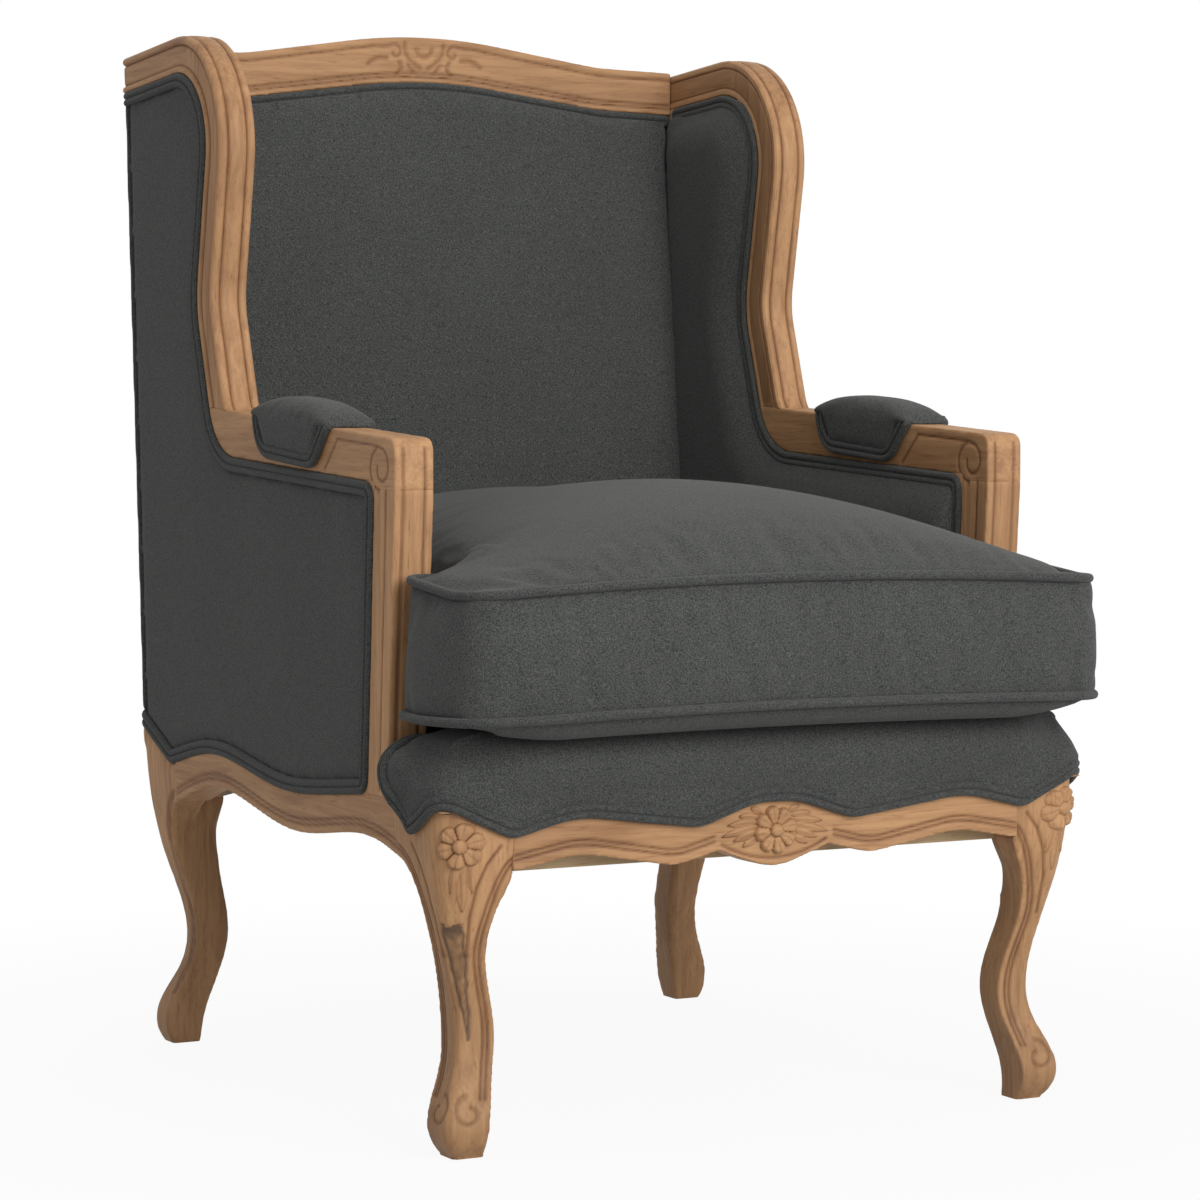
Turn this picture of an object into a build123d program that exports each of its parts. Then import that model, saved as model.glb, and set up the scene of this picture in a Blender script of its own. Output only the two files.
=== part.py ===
from build123d import *
import os

# Carved wing armchair. Millimetres: X across the chair, Y from front to back, Z up from the floor.
# The two side frames are planar, so most members start as one outline seen from the side (Y, Z).

# Overall sizes
HALF_WIDTH = 327        # middle of the chair to the outer face of a side frame
SIDE_T = 38             # thickness of the side frames
SEAT_TOP = 305          # top of the front and side seat rails
ARM_TOP = 620           # top of the arm at its front
ARM_RISE = 28           # how much the arm climbs towards the wing
WING_TOP = 1008         # highest point of the wings
CREST_RISE = 27         # rise of the crest rail from its ends to its middle
CREST_DROP = 6          # the crest rail's ends lie this far below the wings
FIT = 0.3               # clearance between neighbouring pieces

# Back
REAR_SEAT_Y = 350       # rear face at the seat
REAR_TOP_Y = 394        # rear face at the top of the wings
BACK_SKIN = 7           # thickness of the outside back
POST_DEPTH = 34         # back post, front to back
POST_WIDTH = 27         # back post, across

# Side frame seen from the side
BAND = 37               # width of the show-wood band round a wing
TIGHT = 5               # rounding of tight corners, where a welt turns in a mitre
WING_Y = 134            # front of the wing at its fullest
WAIST_Y = 164           # front of the wing at its waist
WAIST_PART = 0.322      # height of the waist, as a part of the wing's height over the arm
BULGE_PART = 0.722      # height where the wing is fullest, likewise
WING_ROUND_PART = 0.116      # rounding of the opening's top corner, as a part of the wing's height over the arm
BULGE_ROUND_PART = 0.515     # rounding of the wing's fullest part, likewise
WAIST_ROUND_PART = 0.284     # rounding of its waist, likewise
ELBOW_ROUND_PART = 0.175     # rounding of the corner between wing and arm, likewise
WING_FALL = 16          # fall of the opening's top edge towards the rear
WING_JOINT_Y = 225      # joint between the wing's stile and its top
ELBOW_Y = 154           # inner corner between wing and arm
ARM_FRONT_Y = -257      # front of the arm
ARM_UNDER_Z = 581       # underside of the arm behind the post
ARM_BLOCK_Z = 574       # joint between the arm and its post
ARM_NOSE = 13           # rounding of the arm's front top edge
POST_TOP_Y = -213       # rear edge of the post under the arm
POST_FOOT_Y = -197      # rear edge of the post at the rail
POST_FOOT_FRONT_Y = -237

# Seat rails
RAIL_T = 36             # thickness of the front and rear rails
FRONT_Y = -352          # front face of the front rail
REAR_RAIL_TOP = 324     # top of the rear rail, where the back cloth ends
SIDE_FRONT_EAR_Y = -262  # joint between front leg and side rail
SIDE_REAR_EAR_Y = 262   # joint between rear leg and side rail
FRONT_EAR = 69          # outer face to the joint between front leg and front rail
REAR_EAR = 79           # outer face to the joint between rear leg and rear rail
SIDE_EAR_Z = 256        # underside of the side rail at its joints
FRONT_EAR_Z = 250       # underside of the front rail at its joints
REAR_EAR_Z = 256        # underside of the rear rail at its joints
FRONT_DIP = 14          # drop of the front rail's middle below its ends
FRONT_ROUND = 60        # rounding of the front rail's middle
RAIL_DIP = 18           # dip of the side rails' upper edge at their middle
RAIL_SWELL = 10         # rise of the upper edge towards the rear
RAIL_HOLLOW = 160       # roundings of the side rails' curves
RAIL_ARCH = 115
RAIL_HAUNCH = 70
RAIL_HAUNCH_Y = 205     # the side rails' curves turn at these distances from their middle
RAIL_ARCH_Y = 162

# Legs
KNEE_OUT = 3            # the front knee stands this far proud of the side frame
TOE_Z = 32              # height where the foot is fullest
ANKLE_Z = 110           # height where the leg is slimmest
CALF_Z = 196            # height below the knee
ANKLE_IN = 32           # how far the ankle lies inside the knee
TOE_IN = 12             # how far the toe lies inside the knee
ANKLE_T = 36            # thickness of a leg at the ankle
TOE_T = 42              # thickness of a leg at the toe
SOLE_T = 28             # thickness of a leg at the floor
CALF_T = 41             # thickness of a leg at the calf
REAR_ANKLE_Y = 334      # rear face of the rear leg at the ankle
REAR_TOE_Y = 360        # rear face of the rear leg at the toe

# Crest rail
CREST_H = 49            # height of the crest rail at its middle
CREST_END_H = 45        # height of the crest rail at its ends
CREST_T = 36            # thickness of the crest rail
CREST_BOW = 12          # how far its middle lies behind its ends

# Hidden frame
BATTEN_T = 22           # thickness of the seat battens
FRONT_BATTEN_Z = 245    # underside of the front batten
SIDE_BATTEN_Z = 285     # underside of the other battens
BLOCK_LEG = 75          # side of a triangular corner block
BLOCK_Z = 258           # underside of the corner blocks
BLOCK_H = 42            # height of the corner blocks
TACK_H = 45             # height of the lower back rail
TACK_T = 20             # thickness of the lower back rail
DOWEL_R = 4             # radius of the dowels
DOWEL_HALF = 18         # length of a dowel on each side of its joint
HOLE_PLAY = 0.1         # a dowel's or screw's play in its hole
SCREW_R = 2.2           # corner block screws
SCREW_HEAD_R = 4.2
SCREW_HEAD_H = 3
SCREW_L = 38
STRAP_W = 50            # seat webbing
STRAP_T = 1.5
STRAP_PITCH = 96
DUST_T = 1

# Upholstery
CORD_R = 3.5            # radius of one cord of the double welts
CORD_STEP = 6.4         # distance between the two cords of a double welt
DECK_TOP = 370          # top of the fixed seat pad
SKIRT_CUSP = 27         # depth of the skirt's cusps below the seat rails' top
SKIRT_T = 7             # cloth and padding in front of the rails
DECK_ROUND = 26         # rounding of the seat pad's top edges
PAD_PROUD = 18          # how far the padded sides stand inside the side frames
PAD_DEPTH = 29          # thickness of the padded sides
PAD_EASE = 7            # the top layer of the padded sides is this much smaller all round, and this thick
PANEL_T = 9             # thickness of the outside panels
BACK_FOOT_Y = 288       # front of the inside back at the seat
BACK_HEAD_Y = 356       # front of the inside back at the crest
BACK_SWELL = 10         # how far the inside back swells
BACK_FOOT_Z = 330       # lower edge of the inside back
CREST_EASE = 0.8        # the crest's welts hang a little below its arch
ARM_PAD_OUT = 8         # how far an arm pad laps over the arm's faces
ARM_PAD_REAR_Y = 88
ARM_PAD_FRONT_Y = -165
ARM_PAD_LAP = 36        # how far an arm pad and its welt lap down the sides of the arm
ARM_PAD_CROWN = 22      # height of an arm pad over the arm

# Loose cushion
CUSHION_IN = 12         # the cushion's front is this much narrower than the side frames, each side
CUSHION_FRONT_Y = -399
CUSHION_EAR_Y = -268    # rear of the ears that lie in front of the arm posts
CUSHION_SIDE_GAP = 10   # cushion cloth to padded side, with the piping between
CUSHION_BACK_GAP = 11
BOXING_FOOT = 11        # the lower seam above the cushion's underside
BOXING_H = 108          # distance between the two seams
CROWN_H = 79            # height of the crown above the upper seam
PIPING_R = 4

# Values worked out from the sizes above
INNER_X = HALF_WIDTH - SIDE_T
KNEE_X = HALF_WIDTH + KNEE_OUT
KNEE_SHIFT = FRONT_Y + KNEE_X   # the front leg has one outline seen from the front and from the side
FRONT_EAR_X = HALF_WIDTH - FRONT_EAR
REAR_EAR_X = HALF_WIDTH - REAR_EAR
PAD_X = INNER_X - PAD_PROUD
CUSHION_HALF = HALF_WIDTH - CUSHION_IN
CREST_END = WING_TOP - CREST_DROP
CREST_TOP = CREST_END + CREST_RISE
WING_H = WING_TOP - ARM_TOP
WAIST_Z = ARM_TOP + WING_H * WAIST_PART
BULGE_Z = ARM_TOP + WING_H * BULGE_PART
MID_X = HALF_WIDTH - SIDE_T / 2
WELT_W = CORD_STEP + 2 * CORD_R
WELT_ROOM = WELT_W + 2 * FIT
WELT_MID = WELT_ROOM / 2
RECLINE = (REAR_TOP_Y - REAR_SEAT_Y) / (WING_TOP - SEAT_TOP)
ARM_SLOPE = ARM_RISE / (WING_JOINT_Y - ARM_FRONT_Y)
STRAP_TOP = SEAT_TOP + 2 * STRAP_T


def rear_y(z):
    """Rear face of the chair at a height."""
    return REAR_SEAT_Y + (z - SEAT_TOP) * RECLINE


def arm_z(y):
    """Top of the arm at a distance along the chair."""
    return ARM_TOP + (y - ARM_FRONT_Y) * ARM_SLOPE


def across(face, x0, x1):
    """Extrudes a face drawn in (Y, Z) from x0 to x1."""
    return extrude(Plane.YZ.offset(x0) * face, x1 - x0, dir=(1, 0, 0))


def along(face, y0, y1):
    """Extrudes a face drawn in (X, Z) from y0 to y1."""
    return extrude(Plane.XZ.offset(-y0) * face, y1 - y0, dir=(0, 1, 0))


def upward(face, z0, z1):
    """Extrudes a face drawn in (X, Y) from z0 to z1."""
    return extrude(Plane.XY.offset(z0) * face, z1 - z0, dir=(0, 0, 1))


def polygon(*points):
    return make_face(Polyline(*points, close=True).edges())


def closed(curve, *points):
    """Closes an open outline with straight lines through the given points."""
    rest = Polyline(curve @ 1, *points, curve @ 0)
    return make_face(curve.edges() + rest.edges())


def mirrored_line(half, radii, middle_radius=None):
    """An outline from +X to -X whose points are given from +X to the middle."""
    points = half + [(-x, z) for x, z in reversed(half) if x != 0]
    rounds = radii + ([] if middle_radius is None else [middle_radius]) + radii[::-1]
    return FilletPolyline(*points, radius=rounds)


def box(x0, x1, y0, y1, z0, z1):
    return Pos((x0 + x1) / 2, (y0 + y1) / 2, (z0 + z1) / 2) * Box(x1 - x0, y1 - y0, z1 - z0)


def left_of(shape):
    return mirror(shape, about=Plane.YZ)


def both(shape):
    return [shape, left_of(shape)]


def rod(start, direction, length, radius):
    """A round rod from a point along a direction."""
    plane = Plane(origin=start, z_dir=direction)
    return extrude(plane * Circle(radius), length)


def welt(path, normal):
    """A double welt: two cords side by side along a path that lies in one plane."""
    start = path @ 0
    tangent = path % 0
    side = Vector(*normal).cross(tangent).normalized()
    plane = Plane(origin=start, x_dir=side, z_dir=tangent)
    profile = Pos(CORD_STEP / 2, 0) * Circle(CORD_R) + Pos(-CORD_STEP / 2, 0) * Circle(CORD_R)
    return sweep(plane * profile, path=path, transition=Transition.RIGHT)


# Opening of a side frame, seen from the side: wing top, stile, elbow, arm, post, rail, rear edge.
opening_top = WING_TOP - BAND
rail_mid_y = (SIDE_FRONT_EAR_Y + SIDE_REAR_EAR_Y) / 2
rear_corner = (rear_y(REAR_RAIL_TOP), REAR_RAIL_TOP)
fall_z = opening_top - WING_FALL * 2 / 3
wing_corner = (rear_y(fall_z), fall_z)
opening_line = FilletPolyline(
    wing_corner,
    (WING_Y + BAND, opening_top + WING_FALL / 3),
    (WING_Y + BAND, BULGE_Z),
    (WAIST_Y + BAND, WAIST_Z),
    (ELBOW_Y, ARM_UNDER_Z + BAND / 2),
    (POST_TOP_Y, ARM_UNDER_Z),
    (POST_FOOT_Y, SEAT_TOP),
    (rail_mid_y - RAIL_DIP, SEAT_TOP - RAIL_DIP),
    (rail_mid_y + RAIL_ARCH_Y, SEAT_TOP + RAIL_SWELL),
    (SIDE_REAR_EAR_Y + RAIL_SWELL, SEAT_TOP - RAIL_SWELL * 1.5),
    rear_corner,
    radius=[
        WING_H * WING_ROUND_PART, WING_H * BULGE_ROUND_PART, WING_H * WAIST_ROUND_PART, WING_H * ELBOW_ROUND_PART,
        TIGHT, TIGHT, RAIL_HOLLOW, RAIL_ARCH, TIGHT,
    ],
)
opening = closed(opening_line)
behind = polygon(
    (rear_y(0), 0), (rear_y(2 * WING_TOP), 2 * WING_TOP), (2 * REAR_TOP_Y, 2 * WING_TOP), (2 * REAR_TOP_Y, 0)
)
before_back = polygon(
    (rear_y(0) - BACK_SKIN - FIT, 0),
    (rear_y(2 * WING_TOP) - BACK_SKIN - FIT, 2 * WING_TOP),
    (2 * FRONT_Y, 2 * WING_TOP),
    (2 * FRONT_Y, 0),
)

# Wing: the band round the opening above the arm, cut into its stile and its top
wing_band = offset(opening, BAND, kind=Kind.INTERSECTION) - opening - behind
above_arm = polygon(
    (ARM_FRONT_Y, ARM_TOP),
    (WING_JOINT_Y, arm_z(WING_JOINT_Y)),
    (WING_JOINT_Y, 2 * WING_TOP),
    (ARM_FRONT_Y, 2 * WING_TOP),
)
stile_face = wing_band & above_arm
wing_top_face = wing_band & polygon(
    (WING_JOINT_Y, opening_top - BAND),
    (2 * REAR_TOP_Y, opening_top - BAND),
    (2 * REAR_TOP_Y, 2 * WING_TOP),
    (WING_JOINT_Y, 2 * WING_TOP),
)
wing_stile = across(stile_face, INNER_X, HALF_WIDTH)
wing_top = across(wing_top_face, INNER_X, HALF_WIDTH)

# Arm with its front block, and the post under it
arm_outline = FilletPolyline(
    (WING_JOINT_Y, arm_z(WING_JOINT_Y)),
    (ARM_FRONT_Y, ARM_TOP),
    (ARM_FRONT_Y, ARM_BLOCK_Z),
    radius=[ARM_NOSE],
)
arm_face = closed(arm_outline, (WING_JOINT_Y, ARM_BLOCK_Z)) - opening
arm = across(arm_face.faces().sort_by(Axis.X)[0], INNER_X, HALF_WIDTH)
post_face = polygon(
    (ARM_FRONT_Y, ARM_BLOCK_Z), (POST_FOOT_FRONT_Y, SEAT_TOP), (POST_FOOT_Y, SEAT_TOP), (POST_FOOT_Y, ARM_BLOCK_Z)
) - opening
arm_post = across(post_face.faces().sort_by(Axis.X)[0], INNER_X, HALF_WIDTH)

# Side rail: serpentine underside, and the opening's edge on top
side_under = FilletPolyline(
    (SIDE_FRONT_EAR_Y, SIDE_EAR_Z),
    (rail_mid_y - RAIL_HAUNCH_Y, SIDE_EAR_Z + RAIL_DIP),
    (rail_mid_y - RAIL_DIP * 1.6, SIDE_EAR_Z - RAIL_DIP / 3),
    (rail_mid_y + RAIL_ARCH_Y, SIDE_EAR_Z + RAIL_SWELL * 3),
    (SIDE_REAR_EAR_Y, SIDE_EAR_Z - RAIL_SWELL * 0.4),
    radius=[RAIL_HAUNCH, RAIL_HOLLOW, RAIL_ARCH],
)
side_rail_face = closed(
    side_under,
    (SIDE_REAR_EAR_Y, REAR_RAIL_TOP),
    (POST_FOOT_Y, REAR_RAIL_TOP),
    (POST_FOOT_Y, SEAT_TOP),
    (SIDE_FRONT_EAR_Y, SEAT_TOP),
) - opening
side_rail = across(side_rail_face.faces().sort_by(SortBy.AREA)[-1], INNER_X, HALF_WIDTH)

# Front rail and rear rail, seen from the front
front_under = mirrored_line(
    [
        (FRONT_EAR_X, FRONT_EAR_Z),
        (FRONT_EAR_X * 0.756, FRONT_EAR_Z + FRONT_DIP * 0.8),
        (FRONT_EAR_X * 0.388, FRONT_EAR_Z - FRONT_DIP * 0.36),
        (FRONT_EAR_X * 0.221, FRONT_EAR_Z + FRONT_DIP * 0.43),
        (0, FRONT_EAR_Z - FRONT_DIP),
    ],
    [FRONT_ROUND * 1.8, FRONT_ROUND, FRONT_ROUND / 20],
    FRONT_ROUND,
)
front_rail = along(
    closed(front_under, (-FRONT_EAR_X, SEAT_TOP), (FRONT_EAR_X, SEAT_TOP)), FRONT_Y, FRONT_Y + RAIL_T
)
rear_under = mirrored_line(
    [(REAR_EAR_X, REAR_EAR_Z), (REAR_EAR_X * 0.68, REAR_EAR_Z + RAIL_DIP), (0, REAR_EAR_Z + RAIL_DIP / 2)],
    [RAIL_ARCH],
    RAIL_ARCH * 2,
)
rear_rail = along(
    closed(rear_under, (-REAR_EAR_X, REAR_RAIL_TOP), (REAR_EAR_X, REAR_RAIL_TOP)),
    REAR_SEAT_Y - RAIL_T,
    REAR_SEAT_Y,
)


def leg_outline(outer, inner, ear, top):
    """A leg seen from one side: its outer curve, its inner curve into the ear, and a flat top and sole."""
    outer_curve = Spline(*outer)
    inner_curve = Spline(*inner)
    edges = outer_curve.edges() + inner_curve.edges()
    edges += Line(outer[0], inner[0]).edges()
    edges += Polyline(inner[-1], (ear, top), outer[-1]).edges()
    return make_face(edges)


def front_leg_points(shift, ear, ear_z):
    """Outer and inner points of the front leg, counted outwards from the middle of the chair."""
    ankle = KNEE_X - ANKLE_IN
    toe = KNEE_X - TOE_IN
    calf = KNEE_X - 14
    outer = [
        (toe - 13, 0), (toe, TOE_Z), (ankle + 3, ANKLE_Z - 32), (ankle, ANKLE_Z), (calf, CALF_Z),
        (KNEE_X, SEAT_TOP - 22), (KNEE_X, SEAT_TOP),
    ]
    inner = [
        (toe - 13 - SOLE_T, 0), (toe - TOE_T, TOE_Z), (ankle - ANKLE_T, ANKLE_Z - 4), (calf - CALF_T, CALF_Z),
        (calf - CALF_T - 10, ear_z - 17), (ear + 6, ear_z - 1), (ear, ear_z),
    ]
    return [(u + shift, z) for u, z in outer], [(u + shift, z) for u, z in inner[:-2]] + inner[-2:]


# Front leg: cut to the same curve from the front and from the side, as a cabriole leg is sawn
seen_outer, seen_inner = front_leg_points(0, FRONT_EAR_X, FRONT_EAR_Z)
front_view = leg_outline(seen_outer, seen_inner, FRONT_EAR_X, SEAT_TOP)
side_outer, side_inner = front_leg_points(-KNEE_SHIFT, -SIDE_FRONT_EAR_Y, SIDE_EAR_Z)
side_view = leg_outline(
    [(-y, z) for y, z in side_outer], [(-y, z) for y, z in side_inner], SIDE_FRONT_EAR_Y, SEAT_TOP
)
front_leg = along(front_view, 2 * FRONT_Y, 0) & across(side_view, 0, 2 * KNEE_X)
front_leg -= box(0, INNER_X, FRONT_Y + RAIL_T, 0, CALF_Z + 36, SEAT_TOP)

# Rear leg: the same way, plainer, and kicked further back than out
rear_ankle_x = KNEE_X - ANKLE_IN - 8
rear_toe_x = KNEE_X - TOE_IN - 5
rear_outer_x = [
    (rear_toe_x - 6, 0), (rear_toe_x, TOE_Z - 3), (rear_ankle_x + 4, ANKLE_Z - 30), (rear_ankle_x, ANKLE_Z),
    (HALF_WIDTH - 14, CALF_Z), (HALF_WIDTH, SEAT_TOP - 20), (HALF_WIDTH, REAR_RAIL_TOP),
]
rear_inner_x = [
    (rear_toe_x - 6 - SOLE_T - 4, 0), (rear_toe_x - TOE_T, TOE_Z), (rear_ankle_x - ANKLE_T, ANKLE_Z),
    (HALF_WIDTH - 14 - CALF_T - 6, CALF_Z), (HALF_WIDTH - 67, REAR_EAR_Z - 18), (REAR_EAR_X + 6, REAR_EAR_Z - 1),
    (REAR_EAR_X, REAR_EAR_Z),
]
rear_outer_y = [
    (REAR_TOE_Y - 7, 0), (REAR_TOE_Y, TOE_Z - 3), (REAR_ANKLE_Y + 6, ANKLE_Z - 30), (REAR_ANKLE_Y, ANKLE_Z),
    (REAR_ANKLE_Y + 4, CALF_Z), (REAR_SEAT_Y - 3, SEAT_TOP - 30), (REAR_SEAT_Y, SEAT_TOP),
    (rear_y(REAR_RAIL_TOP), REAR_RAIL_TOP),
]
rear_inner_y = [
    (REAR_TOE_Y - 7 - SOLE_T - 4, 0), (REAR_TOE_Y - TOE_T, TOE_Z), (REAR_ANKLE_Y - ANKLE_T, ANKLE_Z),
    (REAR_ANKLE_Y + 4 - CALF_T - 4, CALF_Z), (SIDE_REAR_EAR_Y + 20, SIDE_EAR_Z - 14),
    (SIDE_REAR_EAR_Y + 5, SIDE_EAR_Z - 5), (SIDE_REAR_EAR_Y, SIDE_EAR_Z - RAIL_SWELL * 0.4),
]
rear_view = leg_outline(rear_outer_x, rear_inner_x, REAR_EAR_X, REAR_RAIL_TOP)
rear_side_view = leg_outline(rear_outer_y, rear_inner_y, SIDE_REAR_EAR_Y, REAR_RAIL_TOP)
rear_leg = along(rear_view, 0, 2 * REAR_TOE_Y) & across(rear_side_view, 0, 2 * KNEE_X)
rear_leg -= box(0, INNER_X, 0, REAR_SEAT_Y - RAIL_T, CALF_Z + 36, REAR_RAIL_TOP)
rear_leg -= across(opening, INNER_X, 2 * HALF_WIDTH)

# Crest rail: an arched outline bowed backwards at its middle
crest_rounds = [INNER_X * 0.69]
crest_arch = INNER_X * 2
crest_shoulder = INNER_X * 0.7
crest_peak = CREST_RISE / 4
crest_upper = mirrored_line(
    [(INNER_X, CREST_END), (crest_shoulder, CREST_END + CREST_RISE / 9), (0, CREST_TOP + crest_peak)],
    crest_rounds,
    crest_arch,
)
crest_lower_half = [
    (INNER_X, CREST_END - CREST_END_H),
    (crest_shoulder, CREST_END - CREST_END_H + CREST_RISE / 9),
    (0, CREST_TOP - CREST_H + crest_peak),
]
crest_lower = mirrored_line(crest_lower_half, crest_rounds, crest_arch)
crest_face = make_face(
    crest_upper.edges() + crest_lower.edges()
    + Line(crest_upper @ 0, crest_lower @ 0).edges() + Line(crest_upper @ 1, crest_lower @ 1).edges()
)
crest_front_y = REAR_TOP_Y - CREST_T
bow_front = ThreePointArc((-INNER_X, crest_front_y), (0, crest_front_y + CREST_BOW), (INNER_X, crest_front_y))
bow_rear = ThreePointArc((-INNER_X, REAR_TOP_Y), (0, REAR_TOP_Y + CREST_BOW), (INNER_X, REAR_TOP_Y))
bow_face = make_face(
    bow_front.edges() + bow_rear.edges()
    + Line(bow_front @ 0, bow_rear @ 0).edges() + Line(bow_front @ 1, bow_rear @ 1).edges()
)
crest_rail = along(crest_face, 0, 2 * REAR_TOP_Y) & upward(bow_face, 0, 2 * CREST_TOP)

# Back post inside the upholstery, between the rail and the top of the wing
post_front = BACK_SKIN + FIT + POST_DEPTH
back_post_face = opening & polygon(
    (rear_y(0) - post_front, 0),
    (rear_y(0) - BACK_SKIN - FIT, 0),
    (rear_y(2 * WING_TOP) - BACK_SKIN - FIT, 2 * WING_TOP),
    (rear_y(2 * WING_TOP) - post_front, 2 * WING_TOP),
)
back_post = across(back_post_face.faces().sort_by(SortBy.AREA)[-1], INNER_X, INNER_X + POST_WIDTH)

# Lower back rail between the back posts
tack_rear = BACK_SKIN + FIT
lower_back_rail = across(
    polygon(
        (rear_y(REAR_RAIL_TOP) - tack_rear, REAR_RAIL_TOP + FIT),
        (rear_y(REAR_RAIL_TOP) - tack_rear - TACK_T, REAR_RAIL_TOP + FIT),
        (rear_y(REAR_RAIL_TOP + TACK_H) - tack_rear - TACK_T, REAR_RAIL_TOP + TACK_H),
        (rear_y(REAR_RAIL_TOP + TACK_H) - tack_rear, REAR_RAIL_TOP + TACK_H),
    ),
    -INNER_X,
    INNER_X,
)

# Seat battens on the inner faces of the rails, corner blocks and their screws
front_inside = FRONT_Y + RAIL_T
rear_inside = REAR_SEAT_Y - RAIL_T
block_x = INNER_X - BLOCK_LEG
seat_batten_front = box(
    -block_x, block_x, front_inside, front_inside + BATTEN_T, FRONT_BATTEN_Z, SEAT_TOP
)
seat_batten_rear = box(-block_x, block_x, rear_inside - BATTEN_T, rear_inside, SIDE_BATTEN_Z, SEAT_TOP)
seat_batten_side = box(
    INNER_X - BATTEN_T, INNER_X, front_inside + BLOCK_LEG, rear_inside - BLOCK_LEG, SIDE_BATTEN_Z, SEAT_TOP
)
front_block = upward(
    polygon((INNER_X, front_inside), (block_x, front_inside), (INNER_X, front_inside + BLOCK_LEG)),
    BLOCK_Z,
    BLOCK_Z + BLOCK_H,
)
rear_block = upward(
    polygon((INNER_X, rear_inside), (block_x, rear_inside), (INNER_X, rear_inside - BLOCK_LEG)),
    BLOCK_Z,
    BLOCK_Z + BLOCK_H,
)
block_mid_z = BLOCK_Z + BLOCK_H / 2
screw_step = BLOCK_LEG * 0.3
corner_block_screws = []
corner_holes = []
for y_face, inward in ((front_inside, 1), (rear_inside, -1)):
    slope_x = INNER_X - BLOCK_LEG / 2
    slope_y = y_face + inward * BLOCK_LEG / 2
    for offset_x, direction in ((-screw_step / 2, (0, -inward, 0)), (screw_step / 2, (1, 0, 0))):
        start = Vector(slope_x + offset_x, slope_y - inward * offset_x, block_mid_z)
        head = rod(start, direction, SCREW_HEAD_H, SCREW_HEAD_R)
        shank = rod(start, direction, SCREW_L, SCREW_R)
        room = rod(start - Vector(*direction) * BLOCK_LEG, direction, BLOCK_LEG + SCREW_HEAD_H, SCREW_HEAD_R + HOLE_PLAY)
        corner_block_screws += both(head + shank)
        corner_holes.append(room)
        corner_holes.append(rod(start, direction, SCREW_L + HOLE_PLAY, SCREW_R + HOLE_PLAY))

# Dowels: each one half in the first piece and half in the second
dowel_z = (SIDE_EAR_Z + SEAT_TOP) / 2
dowel_pair = 11
seat_dowels = []
for rise in (-dowel_pair, dowel_pair):
    seat_dowels.append(((FRONT_EAR_X, FRONT_Y + RAIL_T / 2, dowel_z + rise), (1, 0, 0)))
    seat_dowels.append(((REAR_EAR_X, REAR_SEAT_Y - RAIL_T / 2, dowel_z + 10 + rise), (1, 0, 0)))
    seat_dowels.append(((MID_X, SIDE_FRONT_EAR_Y, dowel_z + rise), (0, 1, 0)))
    seat_dowels.append(((MID_X, SIDE_REAR_EAR_Y, dowel_z - 4 + rise * 0.7), (0, 1, 0)))
arm_dowels = [
    ((MID_X, (ARM_FRONT_Y + POST_TOP_Y) / 2, ARM_BLOCK_Z), (0, 0, 1)),
    ((MID_X, (POST_FOOT_FRONT_Y + POST_FOOT_Y) / 2, SEAT_TOP), (0, 0, 1)),
    ((MID_X, ELBOW_Y - 5, arm_z(ELBOW_Y - 5)), (0, 0, 1)),
]
wing_joint_z = WING_TOP - BAND / 2
crest_mid_y = REAR_TOP_Y - CREST_T / 2
tack_mid = REAR_RAIL_TOP + TACK_H / 2
back_dowels = [
    ((MID_X, WING_JOINT_Y, wing_joint_z), (0, 1, 0)),
    ((INNER_X, crest_mid_y - 8, CREST_END - CREST_END_H / 2), (1, 0, 0)),
    ((INNER_X, crest_mid_y + 8, CREST_END - CREST_END_H / 2), (1, 0, 0)),
    ((INNER_X, rear_y(tack_mid) - tack_rear - TACK_T / 2, tack_mid - dowel_pair), (1, 0, 0)),
    ((INNER_X, rear_y(tack_mid) - tack_rear - TACK_T / 2, tack_mid + dowel_pair), (1, 0, 0)),
]


def dowel_rods(places, radius, half):
    rods = []
    for centre, direction in places:
        start = Vector(*centre) - Vector(*direction) * half
        rods.append(rod(start, direction, 2 * half, radius))
    return rods


holes = dowel_rods(seat_dowels + arm_dowels + back_dowels, DOWEL_R + HOLE_PLAY, DOWEL_HALF + HOLE_PLAY)
holes += corner_holes
left_holes = [left_of(hole) for hole in holes]


def drilled(shape, drills):
    for drill in drills:
        shape -= drill
    return shape


# Webbing: straps from front to rear with straps from side to side over them, and the dust cover below
seat_webbing = []
for step in (-2, -1, 0, 1, 2):
    x = step * STRAP_PITCH
    seat_webbing.append(
        box(x - STRAP_W / 2, x + STRAP_W / 2, FRONT_Y + SKIRT_T, rear_inside, SEAT_TOP, SEAT_TOP + STRAP_T)
    )
    y = rail_mid_y + step * STRAP_PITCH
    seat_webbing.append(
        box(-INNER_X, INNER_X, y - STRAP_W / 2, y + STRAP_W / 2, SEAT_TOP + STRAP_T, STRAP_TOP)
    )
dust_corner = BLOCK_LEG + FIT
dust_x = INNER_X - FIT
dust_front = front_inside + BATTEN_T + FIT
dust_rear = rear_inside - FIT
front_notch = dust_corner - BATTEN_T
dust_cover = upward(
    polygon(
        (dust_x, front_inside + dust_corner + FIT), (dust_x, dust_rear - dust_corner), (dust_x - dust_corner, dust_rear),
        (dust_corner - dust_x, dust_rear), (-dust_x, dust_rear - dust_corner), (-dust_x, front_inside + dust_corner + FIT),
        (front_notch - dust_x, dust_front), (dust_x - front_notch, dust_front),
    ),
    SIDE_BATTEN_Z - DUST_T,
    SIDE_BATTEN_Z,
)

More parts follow.
